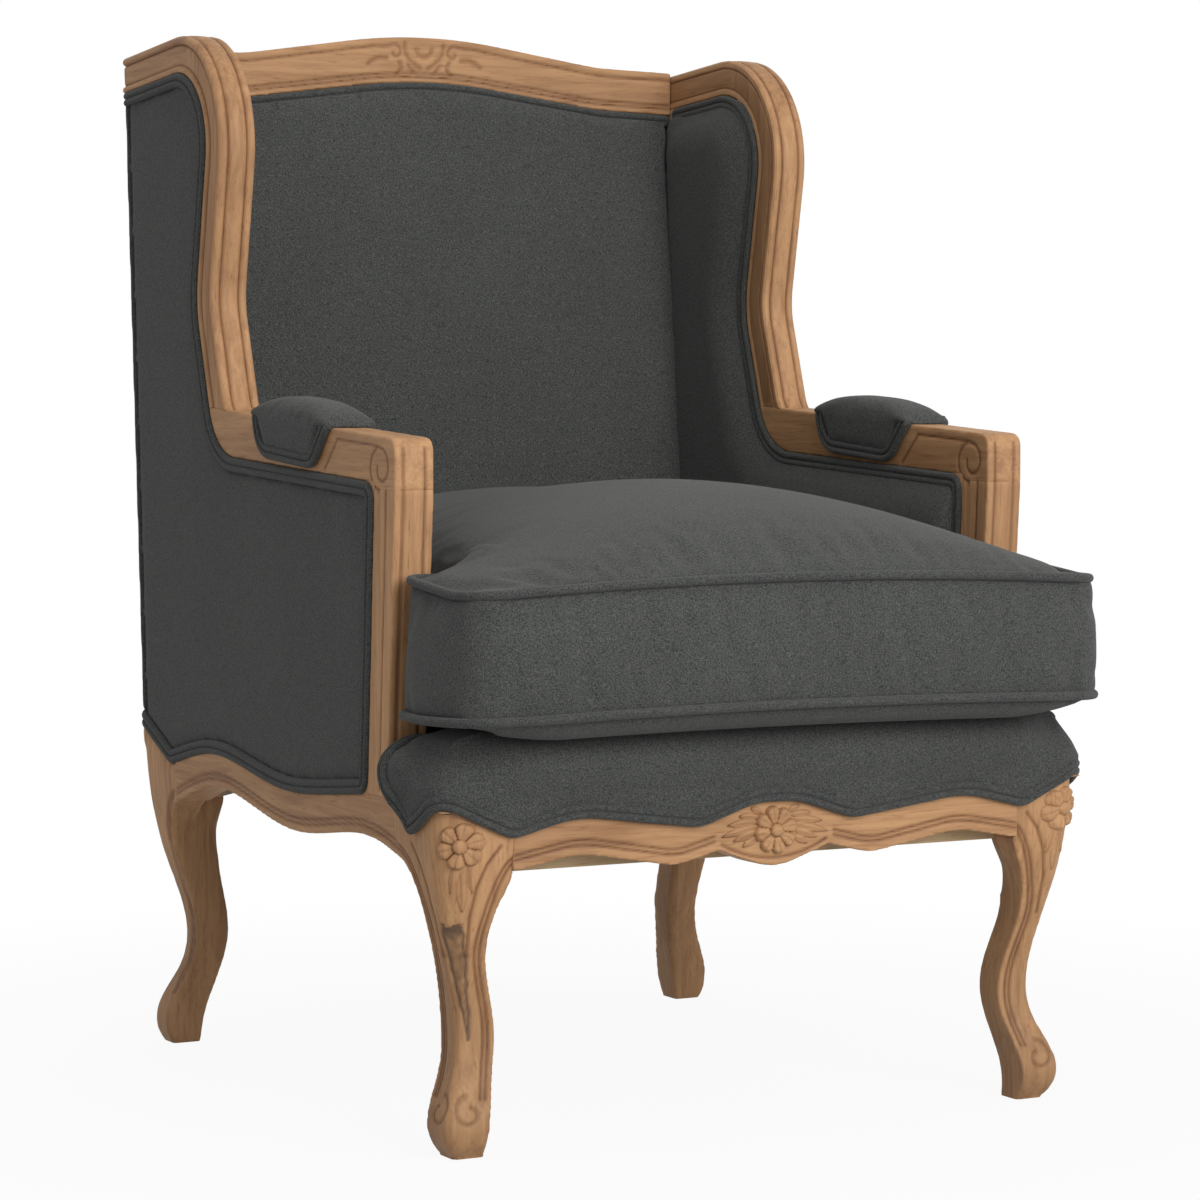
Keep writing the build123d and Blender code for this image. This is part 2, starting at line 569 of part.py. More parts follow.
# Padded insides, outside panels and their double welts, all drawn from the side frame's opening
welt_face = offset(opening, -WELT_MID)
panel_face = offset(opening, -WELT_ROOM)
deck_under = STRAP_TOP + FIT
seat_line = deck_under + 4
inside_face = panel_face & polygon(
    (rear_y(seat_line) - post_front - FIT, seat_line),
    (rear_y(2 * WING_TOP) - post_front - FIT, 2 * WING_TOP),
    (2 * FRONT_Y, 2 * WING_TOP),
    (2 * FRONT_Y, seat_line),
)
inside_cut = inside_face.faces().sort_by(SortBy.AREA)[-1]
inside_side = across(inside_cut, PAD_X + PAD_EASE, PAD_X + PAD_DEPTH)
inside_side += across(offset(inside_cut, -PAD_EASE), PAD_X, PAD_X + PAD_EASE)
outside_face = panel_face & before_back
outside_side = across(outside_face, HALF_WIDTH - PANEL_T, HALF_WIDTH - 1)


def run_of(face, keep):
    """The part of a face's outline whose edges have their middle where it is wanted."""
    return Wire([edge for edge in face.faces()[0].outer_wire().edges() if keep((edge @ 0.5).X, (edge @ 0.5).Y)])


def in_front_of(setback, low):
    """Everything in front of a line that lies a setback before the rear face, above one height."""
    return polygon(
        (rear_y(low) - setback, low),
        (rear_y(2 * WING_TOP) - setback, 2 * WING_TOP),
        (2 * FRONT_Y, 2 * WING_TOP),
        (2 * FRONT_Y, low),
    )


outside_end = 2 * CORD_R + 4 * FIT
outside_path = run_of(welt_face & in_front_of(outside_end, 0), lambda y, z: y < rear_y(z) - outside_end - 1)
inside_end = post_front + CORD_R
inside_path = run_of(
    welt_face & in_front_of(inside_end, seat_line),
    lambda y, z: y < rear_y(z) - inside_end - 1 and z > REAR_RAIL_TOP + WELT_MID,
)
outside_welt = welt(Plane.YZ.offset(HALF_WIDTH - 1) * outside_path, (1, 0, 0))
inside_welt = welt(Plane.YZ.offset(INNER_X + 1) * inside_path, (1, 0, 0))

# Inside back: a leaning pad that swells forwards, under the crest rail and its welt
tack_front = tack_rear + TACK_T + FIT
back_swell_y = (BACK_FOOT_Y + BACK_HEAD_Y) / 2 - BACK_SWELL
back_side = make_face(
    ThreePointArc(
        (BACK_FOOT_Y, BACK_FOOT_Z), (back_swell_y, (BACK_FOOT_Z + CREST_END) / 2), (BACK_HEAD_Y, CREST_END)
    ).edges()
    + Polyline(
        (BACK_HEAD_Y, CREST_END),
        (rear_y(CREST_END) - BACK_SKIN - FIT, CREST_END),
        (rear_y(REAR_RAIL_TOP + TACK_H) - tack_front, REAR_RAIL_TOP + TACK_H),
        (rear_y(BACK_FOOT_Z) - tack_front, BACK_FOOT_Z),
        (BACK_FOOT_Y, BACK_FOOT_Z),
    ).edges()
)
under_crest = [(x, z - WELT_ROOM - 2 * CREST_EASE) for x, z in crest_lower_half]
back_face = closed(mirrored_line(under_crest, crest_rounds, crest_arch), (-INNER_X, BACK_FOOT_Z), (INNER_X, BACK_FOOT_Z))
back_half = PAD_X - FIT
inside_back = across(back_side, -back_half, back_half) & along(back_face, 0, 2 * REAR_TOP_Y)
crest_welt_line = [(x, z - WELT_MID - CREST_EASE) for x, z in crest_lower_half]
crest_welt_line[0] = (back_half, crest_welt_line[0][1])
inside_back_welt = welt(
    Plane.XZ.offset(-(BACK_HEAD_Y + CREST_BOW / 2)) * mirrored_line(crest_welt_line, crest_rounds, crest_arch), (0, 1, 0)
)

# Outside back: one leaning panel between the crest rail and the rear rail, with a welt at each edge
back_panel_face = closed(
    mirrored_line([(HALF_WIDTH, under_crest[0][1])] + under_crest[1:], crest_rounds, crest_arch),
    (-HALF_WIDTH, REAR_RAIL_TOP + WELT_ROOM),
    (HALF_WIDTH, REAR_RAIL_TOP + WELT_ROOM),
)
outside_back = across(
    polygon(
        (rear_y(0) - BACK_SKIN, 0), (rear_y(0), 0), (rear_y(2 * WING_TOP), 2 * WING_TOP),
        (rear_y(2 * WING_TOP) - BACK_SKIN, 2 * WING_TOP),
    ),
    -HALF_WIDTH + 1,
    HALF_WIDTH - 1,
) & along(back_panel_face, 0, 2 * REAR_TOP_Y)
back_welt_x = HALF_WIDTH - 1 + CORD_R
back_welt_half = [(back_welt_x, crest_welt_line[0][1])] + crest_welt_line[1:]
back_welt_top = welt(
    Plane.XZ.offset(-(rear_y(crest_welt_line[0][1]) - CORD_R)) * mirrored_line(back_welt_half, crest_rounds, crest_arch),
    (0, 1, 0),
)
foot_welt_z = REAR_RAIL_TOP + WELT_MID
foot_welt_y = rear_y(foot_welt_z) - CORD_R
back_welt_foot = welt(
    Line((back_welt_x, foot_welt_y, foot_welt_z), (-back_welt_x, foot_welt_y, foot_welt_z)),
    (0, 1, 0),
)

# Fixed seat pad: a T in plan, whose skirt laps over the rails to a serpentine edge with a welt
deck_out_x = KNEE_X + FIT + SKIRT_T
deck_front_y = FRONT_Y - FIT - SKIRT_T
deck_ear_y = arm_face.bounding_box().min.X - FIT
deck_rear_y = BACK_FOOT_Y - FIT
deck_half = PAD_X - FIT
deck_plan = [
    (deck_half, deck_rear_y), (deck_half, deck_ear_y), (deck_out_x, deck_ear_y), (deck_out_x, deck_front_y)
]
deck_points = deck_plan + [(-x, y) for x, y in reversed(deck_plan)]
deck_corner = DECK_ROUND + 3
deck_rounds = [deck_corner, 6, deck_corner, deck_corner, deck_corner, deck_corner, 6, deck_corner]
deck_face = make_face(FilletPolyline(*deck_points, radius=deck_rounds, close=True).edges())
deck_floor = FRONT_EAR_Z
seat_deck = upward(deck_face, deck_floor, DECK_TOP)
seat_deck = fillet(seat_deck.faces().sort_by(Axis.Z)[-1].edges(), DECK_ROUND)
seat_deck -= box(
    -KNEE_X - FIT, KNEE_X + FIT, FRONT_Y - FIT, 2 * REAR_SEAT_Y, 0, deck_under
)
front_border = [
    (deck_out_x, SEAT_TOP + SKIRT_T),
    (FRONT_EAR_X * 1.02, SEAT_TOP - SKIRT_CUSP),
    (FRONT_EAR_X * 0.775, SEAT_TOP - SKIRT_CUSP * 0.4),
    (FRONT_EAR_X * 0.302, SEAT_TOP - SKIRT_CUSP),
    (0, SEAT_TOP - 2 * FIT),
]
border_radii = [TIGHT, FRONT_ROUND * 2, FRONT_ROUND * 0.75]
side_border = [
    (2 * FRONT_Y, SEAT_TOP + SKIRT_CUSP),
    (FRONT_Y, SEAT_TOP),
    (FRONT_Y + SKIRT_CUSP * 2, SEAT_TOP - SKIRT_CUSP),
    (deck_ear_y, SEAT_TOP + SKIRT_CUSP * 0.4),
]


front_zone = closed(mirrored_line(front_border, border_radii, FRONT_ROUND * 1.5), (-deck_out_x, 0), (deck_out_x, 0))
side_zone = closed(FilletPolyline(*side_border, radius=[SKIRT_CUSP * 0.7, TIGHT]), (deck_ear_y, 0), (2 * FRONT_Y, 0))
side_cut = across(offset(side_zone, WELT_ROOM), KNEE_X, 2 * KNEE_X)
seat_deck -= along(offset(front_zone, WELT_ROOM), 2 * FRONT_Y, FRONT_Y)
seat_deck -= side_cut
seat_deck -= left_of(side_cut)
front_welt_face = offset(front_zone, WELT_MID) & polygon(
    (-KNEE_X, FRONT_EAR_Z), (KNEE_X, FRONT_EAR_Z), (KNEE_X, DECK_TOP), (-KNEE_X, DECK_TOP)
)
front_welt_path = run_of(front_welt_face, lambda x, z: z > FRONT_EAR_Z + 1 and abs(x) < KNEE_X - 1)
side_welt_face = offset(side_zone, WELT_MID) & polygon(
    (FRONT_Y, FRONT_EAR_Z), (deck_ear_y, FRONT_EAR_Z), (deck_ear_y, DECK_TOP), (FRONT_Y, DECK_TOP)
)
side_welt_path = run_of(side_welt_face, lambda y, z: z > FRONT_EAR_Z + 1 and FRONT_Y + 1 < y < deck_ear_y - 1)
deck_welt_front = welt(Plane.XZ.offset(-(FRONT_Y - FIT - CORD_R)) * front_welt_path, (0, 1, 0))
deck_welt_side = welt(Plane.YZ.offset(KNEE_X + FIT + CORD_R) * side_welt_path, (1, 0, 0))

# Arm pad: laps over the arm and its sides, with a welt along each lower edge
pad_rear_z = arm_z(ARM_PAD_REAR_Y)
pad_front_z = arm_z(ARM_PAD_FRONT_Y)
lap_top_rear = ARM_PAD_REAR_Y - ARM_PAD_LAP
lap_foot_rear = ARM_PAD_REAR_Y - ARM_PAD_LAP * 1.65
lap_foot_front = ARM_PAD_FRONT_Y + ARM_PAD_LAP * 1.6
lap_top_front = ARM_PAD_FRONT_Y + ARM_PAD_LAP * 0.8
pad_lap = [
    (lap_top_rear, arm_z(lap_top_rear)),
    (lap_foot_rear, arm_z(lap_foot_rear) - ARM_PAD_LAP),
    (lap_foot_front, arm_z(lap_foot_front) - ARM_PAD_LAP * 1.1),
    (lap_top_front, arm_z(lap_top_front)),
]
pad_mid_y = (ARM_PAD_REAR_Y + ARM_PAD_FRONT_Y) / 2
pad_top = ThreePointArc(
    (ARM_PAD_FRONT_Y, pad_front_z), (pad_mid_y, arm_z(pad_mid_y) + ARM_PAD_CROWN), (ARM_PAD_REAR_Y, pad_rear_z)
)
pad_dome = make_face(pad_top.edges() + Line(pad_top @ 0, pad_top @ 1).edges())
lap_zone = closed(
    FilletPolyline(*pad_lap, radius=ARM_PAD_LAP * 0.55),
    (pad_lap[-1][0], pad_lap[-1][1] + ARM_PAD_CROWN + WELT_ROOM),
    (pad_lap[0][0], pad_lap[0][1] + ARM_PAD_CROWN + WELT_ROOM),
)
pad_root = ARM_PAD_CROWN / 4
pad_side = pad_dome + (offset(lap_zone, -WELT_ROOM) - polygon(
    (ARM_PAD_FRONT_Y, pad_front_z + pad_root),
    (ARM_PAD_REAR_Y, pad_rear_z + pad_root),
    (ARM_PAD_REAR_Y, 2 * ARM_TOP),
    (ARM_PAD_FRONT_Y, 2 * ARM_TOP),
))
pad_plan = FilletPolyline(
    (INNER_X - ARM_PAD_OUT, ARM_PAD_FRONT_Y),
    (HALF_WIDTH + ARM_PAD_OUT, ARM_PAD_FRONT_Y),
    (HALF_WIDTH + ARM_PAD_OUT, ARM_PAD_REAR_Y),
    (INNER_X - ARM_PAD_OUT, ARM_PAD_REAR_Y),
    radius=SIDE_T / 2 + ARM_PAD_OUT - 3,
    close=True,
)
arm_pad = across(pad_side, INNER_X - ARM_PAD_OUT, HALF_WIDTH + ARM_PAD_OUT)
arm_pad &= upward(make_face(pad_plan.edges()), 0, 2 * ARM_TOP)
arm_room = polygon(
    (ARM_FRONT_Y, arm_z(ARM_FRONT_Y) + FIT),
    (WING_JOINT_Y, arm_z(WING_JOINT_Y) + FIT),
    (WING_JOINT_Y, ARM_BLOCK_Z - BAND),
    (ARM_FRONT_Y, ARM_BLOCK_Z - BAND),
)
arm_pad -= across(arm_room, INNER_X - FIT, HALF_WIDTH + FIT)
pad_welt_face = offset(lap_zone, -WELT_MID) - polygon(
    (ARM_FRONT_Y, ARM_TOP - WELT_ROOM / 2 - 1),
    (WING_JOINT_Y, arm_z(WING_JOINT_Y) - WELT_ROOM / 2 - 1),
    (WING_JOINT_Y, 2 * ARM_TOP),
    (ARM_FRONT_Y, 2 * ARM_TOP),
)
pad_welt_path = run_of(pad_welt_face, lambda y, z: z < arm_z(y) - WELT_ROOM / 2 - 1.5)
arm_pad_welt = [
    welt(Plane.YZ.offset(HALF_WIDTH + FIT + CORD_R) * pad_welt_path, (1, 0, 0)),
    welt(Plane.YZ.offset(INNER_X - FIT - CORD_R) * pad_welt_path, (1, 0, 0)),
]

# Loose cushion: sections across the chair, with a flat underside, boxed sides and a crown
cushion_floor = DECK_TOP + FIT
seam_low = cushion_floor + BOXING_FOOT
seam_high = seam_low + BOXING_H
cushion_rear_half = PAD_X - CUSHION_SIDE_GAP
cushion_rear_y = BACK_FOOT_Y + (seam_low - BACK_FOOT_Z) * 0.1 - CUSHION_BACK_GAP - BACK_SWELL


def cushion_section(y, half, crown, draw):
    """One section of the cushion: drawn in at the middle of its sides, crowned on top."""
    corner = [
        Line((-half + 34, cushion_floor), (half - 34, cushion_floor)),
        ThreePointArc((half - 34, cushion_floor), (half - 16, cushion_floor + 2.9), (half, seam_low)),
        ThreePointArc((half, seam_low), (half - draw, (seam_low + seam_high) / 2), (half, seam_high)),
        ThreePointArc((half, seam_high), (0, seam_high + crown), (-half, seam_high)),
        ThreePointArc((-half, seam_high), (-half + draw, (seam_low + seam_high) / 2), (-half, seam_low)),
        ThreePointArc((-half, seam_low), (-half + 16, cushion_floor + 2.9), (-half + 34, cushion_floor)),
    ]
    edges = []
    for line in corner:
        edges += line.edges()
    return Plane.XZ.offset(-y) * make_face(edges)


cushion_taper = CUSHION_HALF - cushion_rear_half
ear_reach = CUSHION_EAR_Y - CUSHION_FRONT_Y
body_reach = cushion_rear_y - CUSHION_EAR_Y
cushion_blank = loft([
    cushion_section(CUSHION_FRONT_Y, CUSHION_HALF, CROWN_H * 0.14, 1.5),
    cushion_section(CUSHION_FRONT_Y + ear_reach * 0.25, CUSHION_HALF - 2, CROWN_H * 0.46, 2),
    cushion_section(CUSHION_FRONT_Y + ear_reach * 0.6, CUSHION_HALF - 3, CROWN_H * 0.72, 2),
    cushion_section(CUSHION_EAR_Y, CUSHION_HALF - 3, CROWN_H * 0.88, 2),
    cushion_section(CUSHION_EAR_Y + body_reach * 0.3, CUSHION_HALF - cushion_taper * 0.35, CROWN_H, 2),
    cushion_section(CUSHION_EAR_Y + body_reach * 0.65, CUSHION_HALF - cushion_taper * 0.75, CROWN_H * 0.85, 2),
    cushion_section(cushion_rear_y, cushion_rear_half + 1, CROWN_H * 0.3, 2),
])
cushion_plan = [
    (CUSHION_HALF, CUSHION_FRONT_Y), (CUSHION_HALF, CUSHION_EAR_Y), (cushion_rear_half, CUSHION_EAR_Y),
    (cushion_rear_half, cushion_rear_y),
]
plan_points = cushion_plan + [(-x, y) for x, y in reversed(cushion_plan)]
plan_line = FilletPolyline(*plan_points, radius=[16, 10, 12, 16, 16, 12, 10, 16], close=True)
cushion_outline = make_face(plan_line.edges())
seat_cushion = cushion_blank & upward(cushion_outline, 0, 2 * ARM_TOP)
seam_line = offset(cushion_outline, PIPING_R + FIT).faces()[0].outer_wire()


def piping(z):
    """A cord that runs once round the cushion, outside its seam."""
    path = Plane.XY.offset(z) * seam_line
    plane = Plane(origin=path @ 0, z_dir=path % 0)
    return sweep(plane * Circle(PIPING_R), path=path)


# Every node with its solids
nodes = {
    "front_rail": drilled(front_rail, holes + left_holes),
    "rear_rail": drilled(rear_rail, holes + left_holes),
    "crest_rail": drilled(crest_rail, holes + left_holes),
    "lower_back_rail": drilled(lower_back_rail, holes + left_holes),
    "seat_batten_front": seat_batten_front,
    "seat_batten_rear": seat_batten_rear,
    "seat_batten_right": seat_batten_side,
    "seat_batten_left": left_of(seat_batten_side),
    "corner_blocks": both(drilled(front_block, corner_holes)) + both(drilled(rear_block, corner_holes)),
    "corner_block_screws": corner_block_screws,
    "seat_frame_dowels": [d for r in dowel_rods(seat_dowels, DOWEL_R, DOWEL_HALF) for d in both(r)],
    "arm_dowels": [d for r in dowel_rods(arm_dowels, DOWEL_R, DOWEL_HALF) for d in both(r)],
    "back_dowels": [d for r in dowel_rods(back_dowels, DOWEL_R, DOWEL_HALF) for d in both(r)],
    "seat_webbing": seat_webbing,
    "dust_cover": dust_cover,
    "seat_deck": seat_deck,
    "deck_welt": [deck_welt_front] + both(deck_welt_side),
    "inside_back": inside_back,
    "inside_back_welt": inside_back_welt,
    "outside_back": outside_back,
    "outside_back_welts": [back_welt_top, back_welt_foot],
    "seat_cushion": seat_cushion,
    "cushion_piping_top": piping(seam_high),
    "cushion_piping_bottom": piping(seam_low),
}
sided = {
    "front_leg": drilled(front_leg, holes),
    "rear_leg": drilled(rear_leg, holes),
    "side_rail": drilled(side_rail, holes),
    "arm_post": drilled(arm_post, holes),
    "arm": drilled(arm, holes),
    "wing_stile": drilled(wing_stile, holes),
    "wing_top": drilled(wing_top, holes),
    "back_post": drilled(back_post, holes),
    "inside_side": inside_side,
    "inside_welt": inside_welt,
    "outside_side": outside_side,
    "outside_welt": outside_welt,
    "arm_pad": arm_pad,
    "arm_pad_welt": arm_pad_welt,
}
for name, shape in sided.items():
    pieces = shape if isinstance(shape, list) else [shape]
    nodes[name + "_right"] = pieces
    nodes[name + "_left"] = [left_of(piece) for piece in pieces]

os.makedirs("parts", exist_ok=True)
for name, shape in nodes.items():
    pieces = shape if isinstance(shape, list) else [shape]
    solids = [solid for piece in pieces for solid in piece.solids()]
    export_step(Compound(children=solids) if len(solids) > 1 else solids[0], "parts/" + name + ".step")
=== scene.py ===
import bmesh
import bpy
import math
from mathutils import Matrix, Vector, noise
from mathutils.bvhtree import BVHTree
from mathutils.kdtree import KDTree


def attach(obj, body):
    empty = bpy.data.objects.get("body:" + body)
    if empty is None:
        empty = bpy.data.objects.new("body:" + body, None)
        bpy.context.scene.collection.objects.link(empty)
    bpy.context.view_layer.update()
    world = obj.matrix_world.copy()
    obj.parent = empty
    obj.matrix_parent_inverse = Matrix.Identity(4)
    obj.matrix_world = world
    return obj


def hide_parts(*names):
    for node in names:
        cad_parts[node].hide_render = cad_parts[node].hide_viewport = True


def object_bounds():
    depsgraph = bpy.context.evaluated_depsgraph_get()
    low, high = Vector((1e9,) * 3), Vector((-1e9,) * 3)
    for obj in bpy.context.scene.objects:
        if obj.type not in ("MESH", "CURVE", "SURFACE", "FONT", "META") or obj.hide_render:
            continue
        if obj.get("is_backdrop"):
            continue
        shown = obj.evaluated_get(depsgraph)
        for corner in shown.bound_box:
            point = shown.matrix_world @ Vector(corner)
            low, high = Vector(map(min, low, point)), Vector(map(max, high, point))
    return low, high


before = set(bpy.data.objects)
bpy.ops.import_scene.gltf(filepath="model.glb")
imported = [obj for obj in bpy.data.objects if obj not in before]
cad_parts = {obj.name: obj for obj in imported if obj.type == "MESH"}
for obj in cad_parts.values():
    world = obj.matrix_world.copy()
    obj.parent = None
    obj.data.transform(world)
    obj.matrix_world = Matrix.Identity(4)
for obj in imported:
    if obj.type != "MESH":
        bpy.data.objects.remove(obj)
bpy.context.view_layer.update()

# Show-wood: pale open-grained hardwood, sanded and left almost bare, with darker streaks along the grain.
# One node group holds the grain; the materials differ in the direction in which the boards were cut.
OAK_PALE = (0.522, 0.292, 0.138)
OAK_DARK = (0.275, 0.135, 0.060)
BATTEN_PALE = (0.56, 0.42, 0.25)
BATTEN_DARK = (0.42, 0.29, 0.16)
PORE_TINT = (0.55, 0.45, 0.38, 1)
# Painted shade: grooves, moulding hollows and the gaps of the carvings are multiplied by this tint.
HOLLOW_SHADE_TINT = (0.40, 0.30, 0.24, 1)
# Painted shade inside the deep split of the left front leg.
SPLIT_SHADE = (0.052, 0.034, 0.025, 1)
ALONG_GRAIN = 0.07
# The wood is darker towards the floor: its colour is scaled by the tone at the low height, and not at all
# above the high one.
FLOOR_DARK_BOTTOM, FLOOR_DARK_TOP, FLOOR_DARK_TONE = 0.04, 0.25, 0.80


def added(tree, kind, inputs=None, **settings):
    """A new node of a tree; its inputs are given as plain values or as other nodes' outputs."""
    node = tree.nodes.new(kind)
    for name, value in settings.items():
        setattr(node, name, value)
    for name, value in (inputs or {}).items():
        if isinstance(value, bpy.types.NodeSocket):
            tree.links.new(value, node.inputs[name])
        else:
            node.inputs[name].default_value = value
    return node


def calculated(tree, operation, *values):
    """The output of a Math node."""
    return added(tree, "ShaderNodeMath", dict(enumerate(values)), operation=operation).outputs[0]


def ranged(tree, value, **limits):
    """The output of a Map Range node, whose limits are From_Min, From_Max, To_Min and To_Max."""
    inputs = {name.replace("_", " "): limit for name, limit in limits.items()}
    return added(tree, "ShaderNodeMapRange", {"Value": value, **inputs}).outputs["Result"]


def blended(tree, factor, first, second, blend="MIX"):
    """The output of a Mix node for colours."""
    inputs = {"Factor": factor, "A": first, "B": second}
    return added(tree, "ShaderNodeMix", inputs, data_type="RGBA", blend_type=blend).outputs["Result"]


def dimmed(tree, color, factor):
    """A colour times a factor."""
    return added(tree, "ShaderNodeVectorMath", {0: color, "Scale": factor}, operation="SCALE").outputs[0]


def node_group(name, kind, sockets):
    """A new node group with named sockets, and its input and output nodes."""
    tree = bpy.data.node_groups.new(name, kind)
    for socket, way, data in sockets:
        tree.interface.new_socket(socket, in_out=way, socket_type="NodeSocket" + data)
    return tree, tree.nodes.new("NodeGroupInput").outputs, tree.nodes.new("NodeGroupOutput").inputs


def new_material(name, roughness, specular):
    """A material and its shader, which still lacks its colour and relief."""
    material = bpy.data.materials.new(name)
    material.use_nodes = True
    shader = material.node_tree.nodes["Principled BSDF"].inputs
    shader["Roughness"].default_value = roughness
    shader["Specular IOR Level"].default_value = specular
    return material, shader


def surfaced(tree, shader, color, height, strength, distance):
    """Gives a shader its colour and its relief."""
    bump = added(tree, "ShaderNodeBump", {"Strength": strength, "Distance": distance, "Height": height})
    tree.links.new(color, shader["Base Color"])
    tree.links.new(bump.outputs["Normal"], shader["Normal"])


grain, grain_in, grain_out = node_group("oak_grain", "ShaderNodeTree", (
    ("Stretch", "INPUT", "Vector"), ("Pale", "INPUT", "Color"), ("Dark", "INPUT", "Color"),
    ("Color", "OUTPUT", "Color"), ("Height", "OUTPUT", "Float"),
))
on_board = added(grain, "ShaderNodeVectorMath", {
    0: added(grain, "ShaderNodeTexCoord").outputs["Object"], 1: grain_in["Stretch"],
}, operation="MULTIPLY").outputs[0]


def grain_noise(scale, detail, low, high, distortion=0.0):
    """Noise drawn out along the boards and spread to the whole range from 0 to 1."""
    texture = added(grain, "ShaderNodeTexNoise", {
        "Vector": on_board, "Scale": scale, "Detail": detail, "Distortion": distortion,
    })
    return ranged(grain, texture.outputs["Fac"], From_Min=low, From_Max=high)


tone = grain_noise(scale=22, detail=3, low=0.3, high=0.75)
streaks = grain_noise(scale=150, detail=5, low=0.38, high=0.72, distortion=0.6)
pores = grain_noise(scale=620, detail=2, low=0.57, high=0.75)
darkness = calculated(grain, "MULTIPLY_ADD", streaks, 0.5, calculated(grain, "MULTIPLY", tone, 0.60))
board = blended(grain, darkness, grain_in["Pale"], grain_in["Dark"])
board = blended(grain, calculated(grain, "MULTIPLY", pores, 0.6), board, PORE_TINT, "MULTIPLY")
grain.links.new(board, grain_out["Color"])
grain.links.new(streaks, grain_out["Height"])


def wood(name, along, pale, dark):
    """A wood whose grain runs along one axis; shade is painted into grooves, carved hollows and the split,
    and it is darker towards the floor.
    """
    material, shader = new_material(name, roughness=0.62, specular=0.35)
    tree = material.node_tree
    boards = added(tree, "ShaderNodeGroup", {
        "Stretch": [ALONG_GRAIN if axis == along else 1.0 for axis in "XYZ"],
        "Pale": (*pale, 1),
        "Dark": (*dark, 1),
    }, node_tree=grain).outputs
    # Painted shade: the first attribute darkens grooves and carved hollows, the second paints the split near
    # black.
    shaded_hollows = added(tree, "ShaderNodeAttribute", attribute_name="painted_shade").outputs["Fac"]
    split = added(tree, "ShaderNodeAttribute", attribute_name="split").outputs["Fac"]
    color = blended(tree, shaded_hollows, boards["Color"], HOLLOW_SHADE_TINT, "MULTIPLY")
    color = blended(tree, split, color, SPLIT_SHADE)
    # The colour is darker towards the floor.
    place = added(tree, "ShaderNodeTexCoord").outputs["Object"]
    height = added(tree, "ShaderNodeSeparateXYZ", {"Vector": place}).outputs["Z"]
    floor_darkening = ranged(tree, height, From_Min=FLOOR_DARK_BOTTOM, From_Max=FLOOR_DARK_TOP, To_Min=FLOOR_DARK_TONE)
    surfaced(tree, shader, dimmed(tree, color, floor_darkening), boards["Height"], strength=0.25, distance=0.0006)
    return material


oak_x = wood("oak_along_x", "X", OAK_PALE, OAK_DARK)
oak_y = wood("oak_along_y", "Y", OAK_PALE, OAK_DARK)
oak_z = wood("oak_along_z", "Z", OAK_PALE, OAK_DARK)
pale_x = wood("batten_along_x", "X", BATTEN_PALE, BATTEN_DARK)
pale_y = wood("batten_along_y", "Y", BATTEN_PALE, BATTEN_DARK)

# Rails, arms and posts: each is cut from one board, sunk with the carver's grooves and dowelled to the next.
# A CAD solid is remeshed finely, its edges are worn, and the grooves are sunk into its faces.
SIDES = (("left", -1), ("right", 1))
GROOVE = 0.0014
GROOVE_DEPTH = 0.0015
WIDE_GROOVE = 0.0016
GROOVE_STEP = 0.0007
FRONT_JOINT = 0.258
SIDE_JOINT = 0.262
JOINT_PRESS = 0.0025
JOINT_ZONE = 0.0026
ARM_TOP = 0.620
ARM_FRONT = -0.257
ARM_SLOPE = 0.028 / 0.482
POST_TOP = 0.574


def ramp(value, start, end):
    """How far a value has come from a start to an end, from 0 to 1."""
    return min(max((value - start) / (end - start), 0), 1)


def placed(name, data):
    """A new object in the scene."""
    shown = bpy.data.objects.new(name, data)
    bpy.context.scene.collection.objects.link(shown)
    return shown


def result_of(form):
    """The working mesh that an object's modifiers give; the object itself is removed."""
    bpy.context.view_layer.update()
    graph = bpy.context.evaluated_depsgraph_get()
    result = bpy.data.meshes.new_from_object(form.evaluated_get(graph))
    source = form.data
    bpy.data.objects.remove(form)
    bpy.data.meshes.remove(source)
    work = bmesh.new()
    work.from_mesh(result)
    bpy.data.meshes.remove(result)
    return work


def copy_of(node):
    """A mesh of a CAD node with its split faces joined up again."""
    work = bmesh.new()
    work.from_mesh(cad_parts[node].data)
    bmesh.ops.remove_doubles(work, verts=work.verts, dist=0.00002)
    bmesh.ops.dissolve_limit(work, angle_limit=0.02, verts=work.verts, edges=work.edges)
    return work


def worn(node, voxel, passes):
    """A CAD solid remeshed finely, with its edges worn down."""
    mesh = bpy.data.meshes.new(node + "_blank")
    work = copy_of(node)
    work.to_mesh(mesh)
    work.free()
    blank = placed(node + "_blank", mesh)
    remesh = blank.modifiers.new("fine", "REMESH")
    remesh.mode = "VOXEL"
    remesh.voxel_size = voxel
    wear = blank.modifiers.new("wear", "SMOOTH")
    wear.factor = 0.5
    wear.iterations = passes
    return result_of(blank)


def piece(work, name, body, nodes, material, sharp=60):
    """Turns a working mesh into a shown piece that stands for CAD nodes."""
    bmesh.ops.recalc_face_normals(work, faces=work.faces)
    mesh = bpy.data.meshes.new(name)
    work.to_mesh(mesh)
    work.free()
    mesh.polygons.foreach_set("use_smooth", [True] * len(mesh.polygons))
    mesh.set_sharp_from_angle(angle=math.radians(sharp))
    mesh.materials.append(material)
    shown = placed(name, mesh)
    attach(shown, body)
    if nodes:
        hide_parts(*nodes)
    return shown


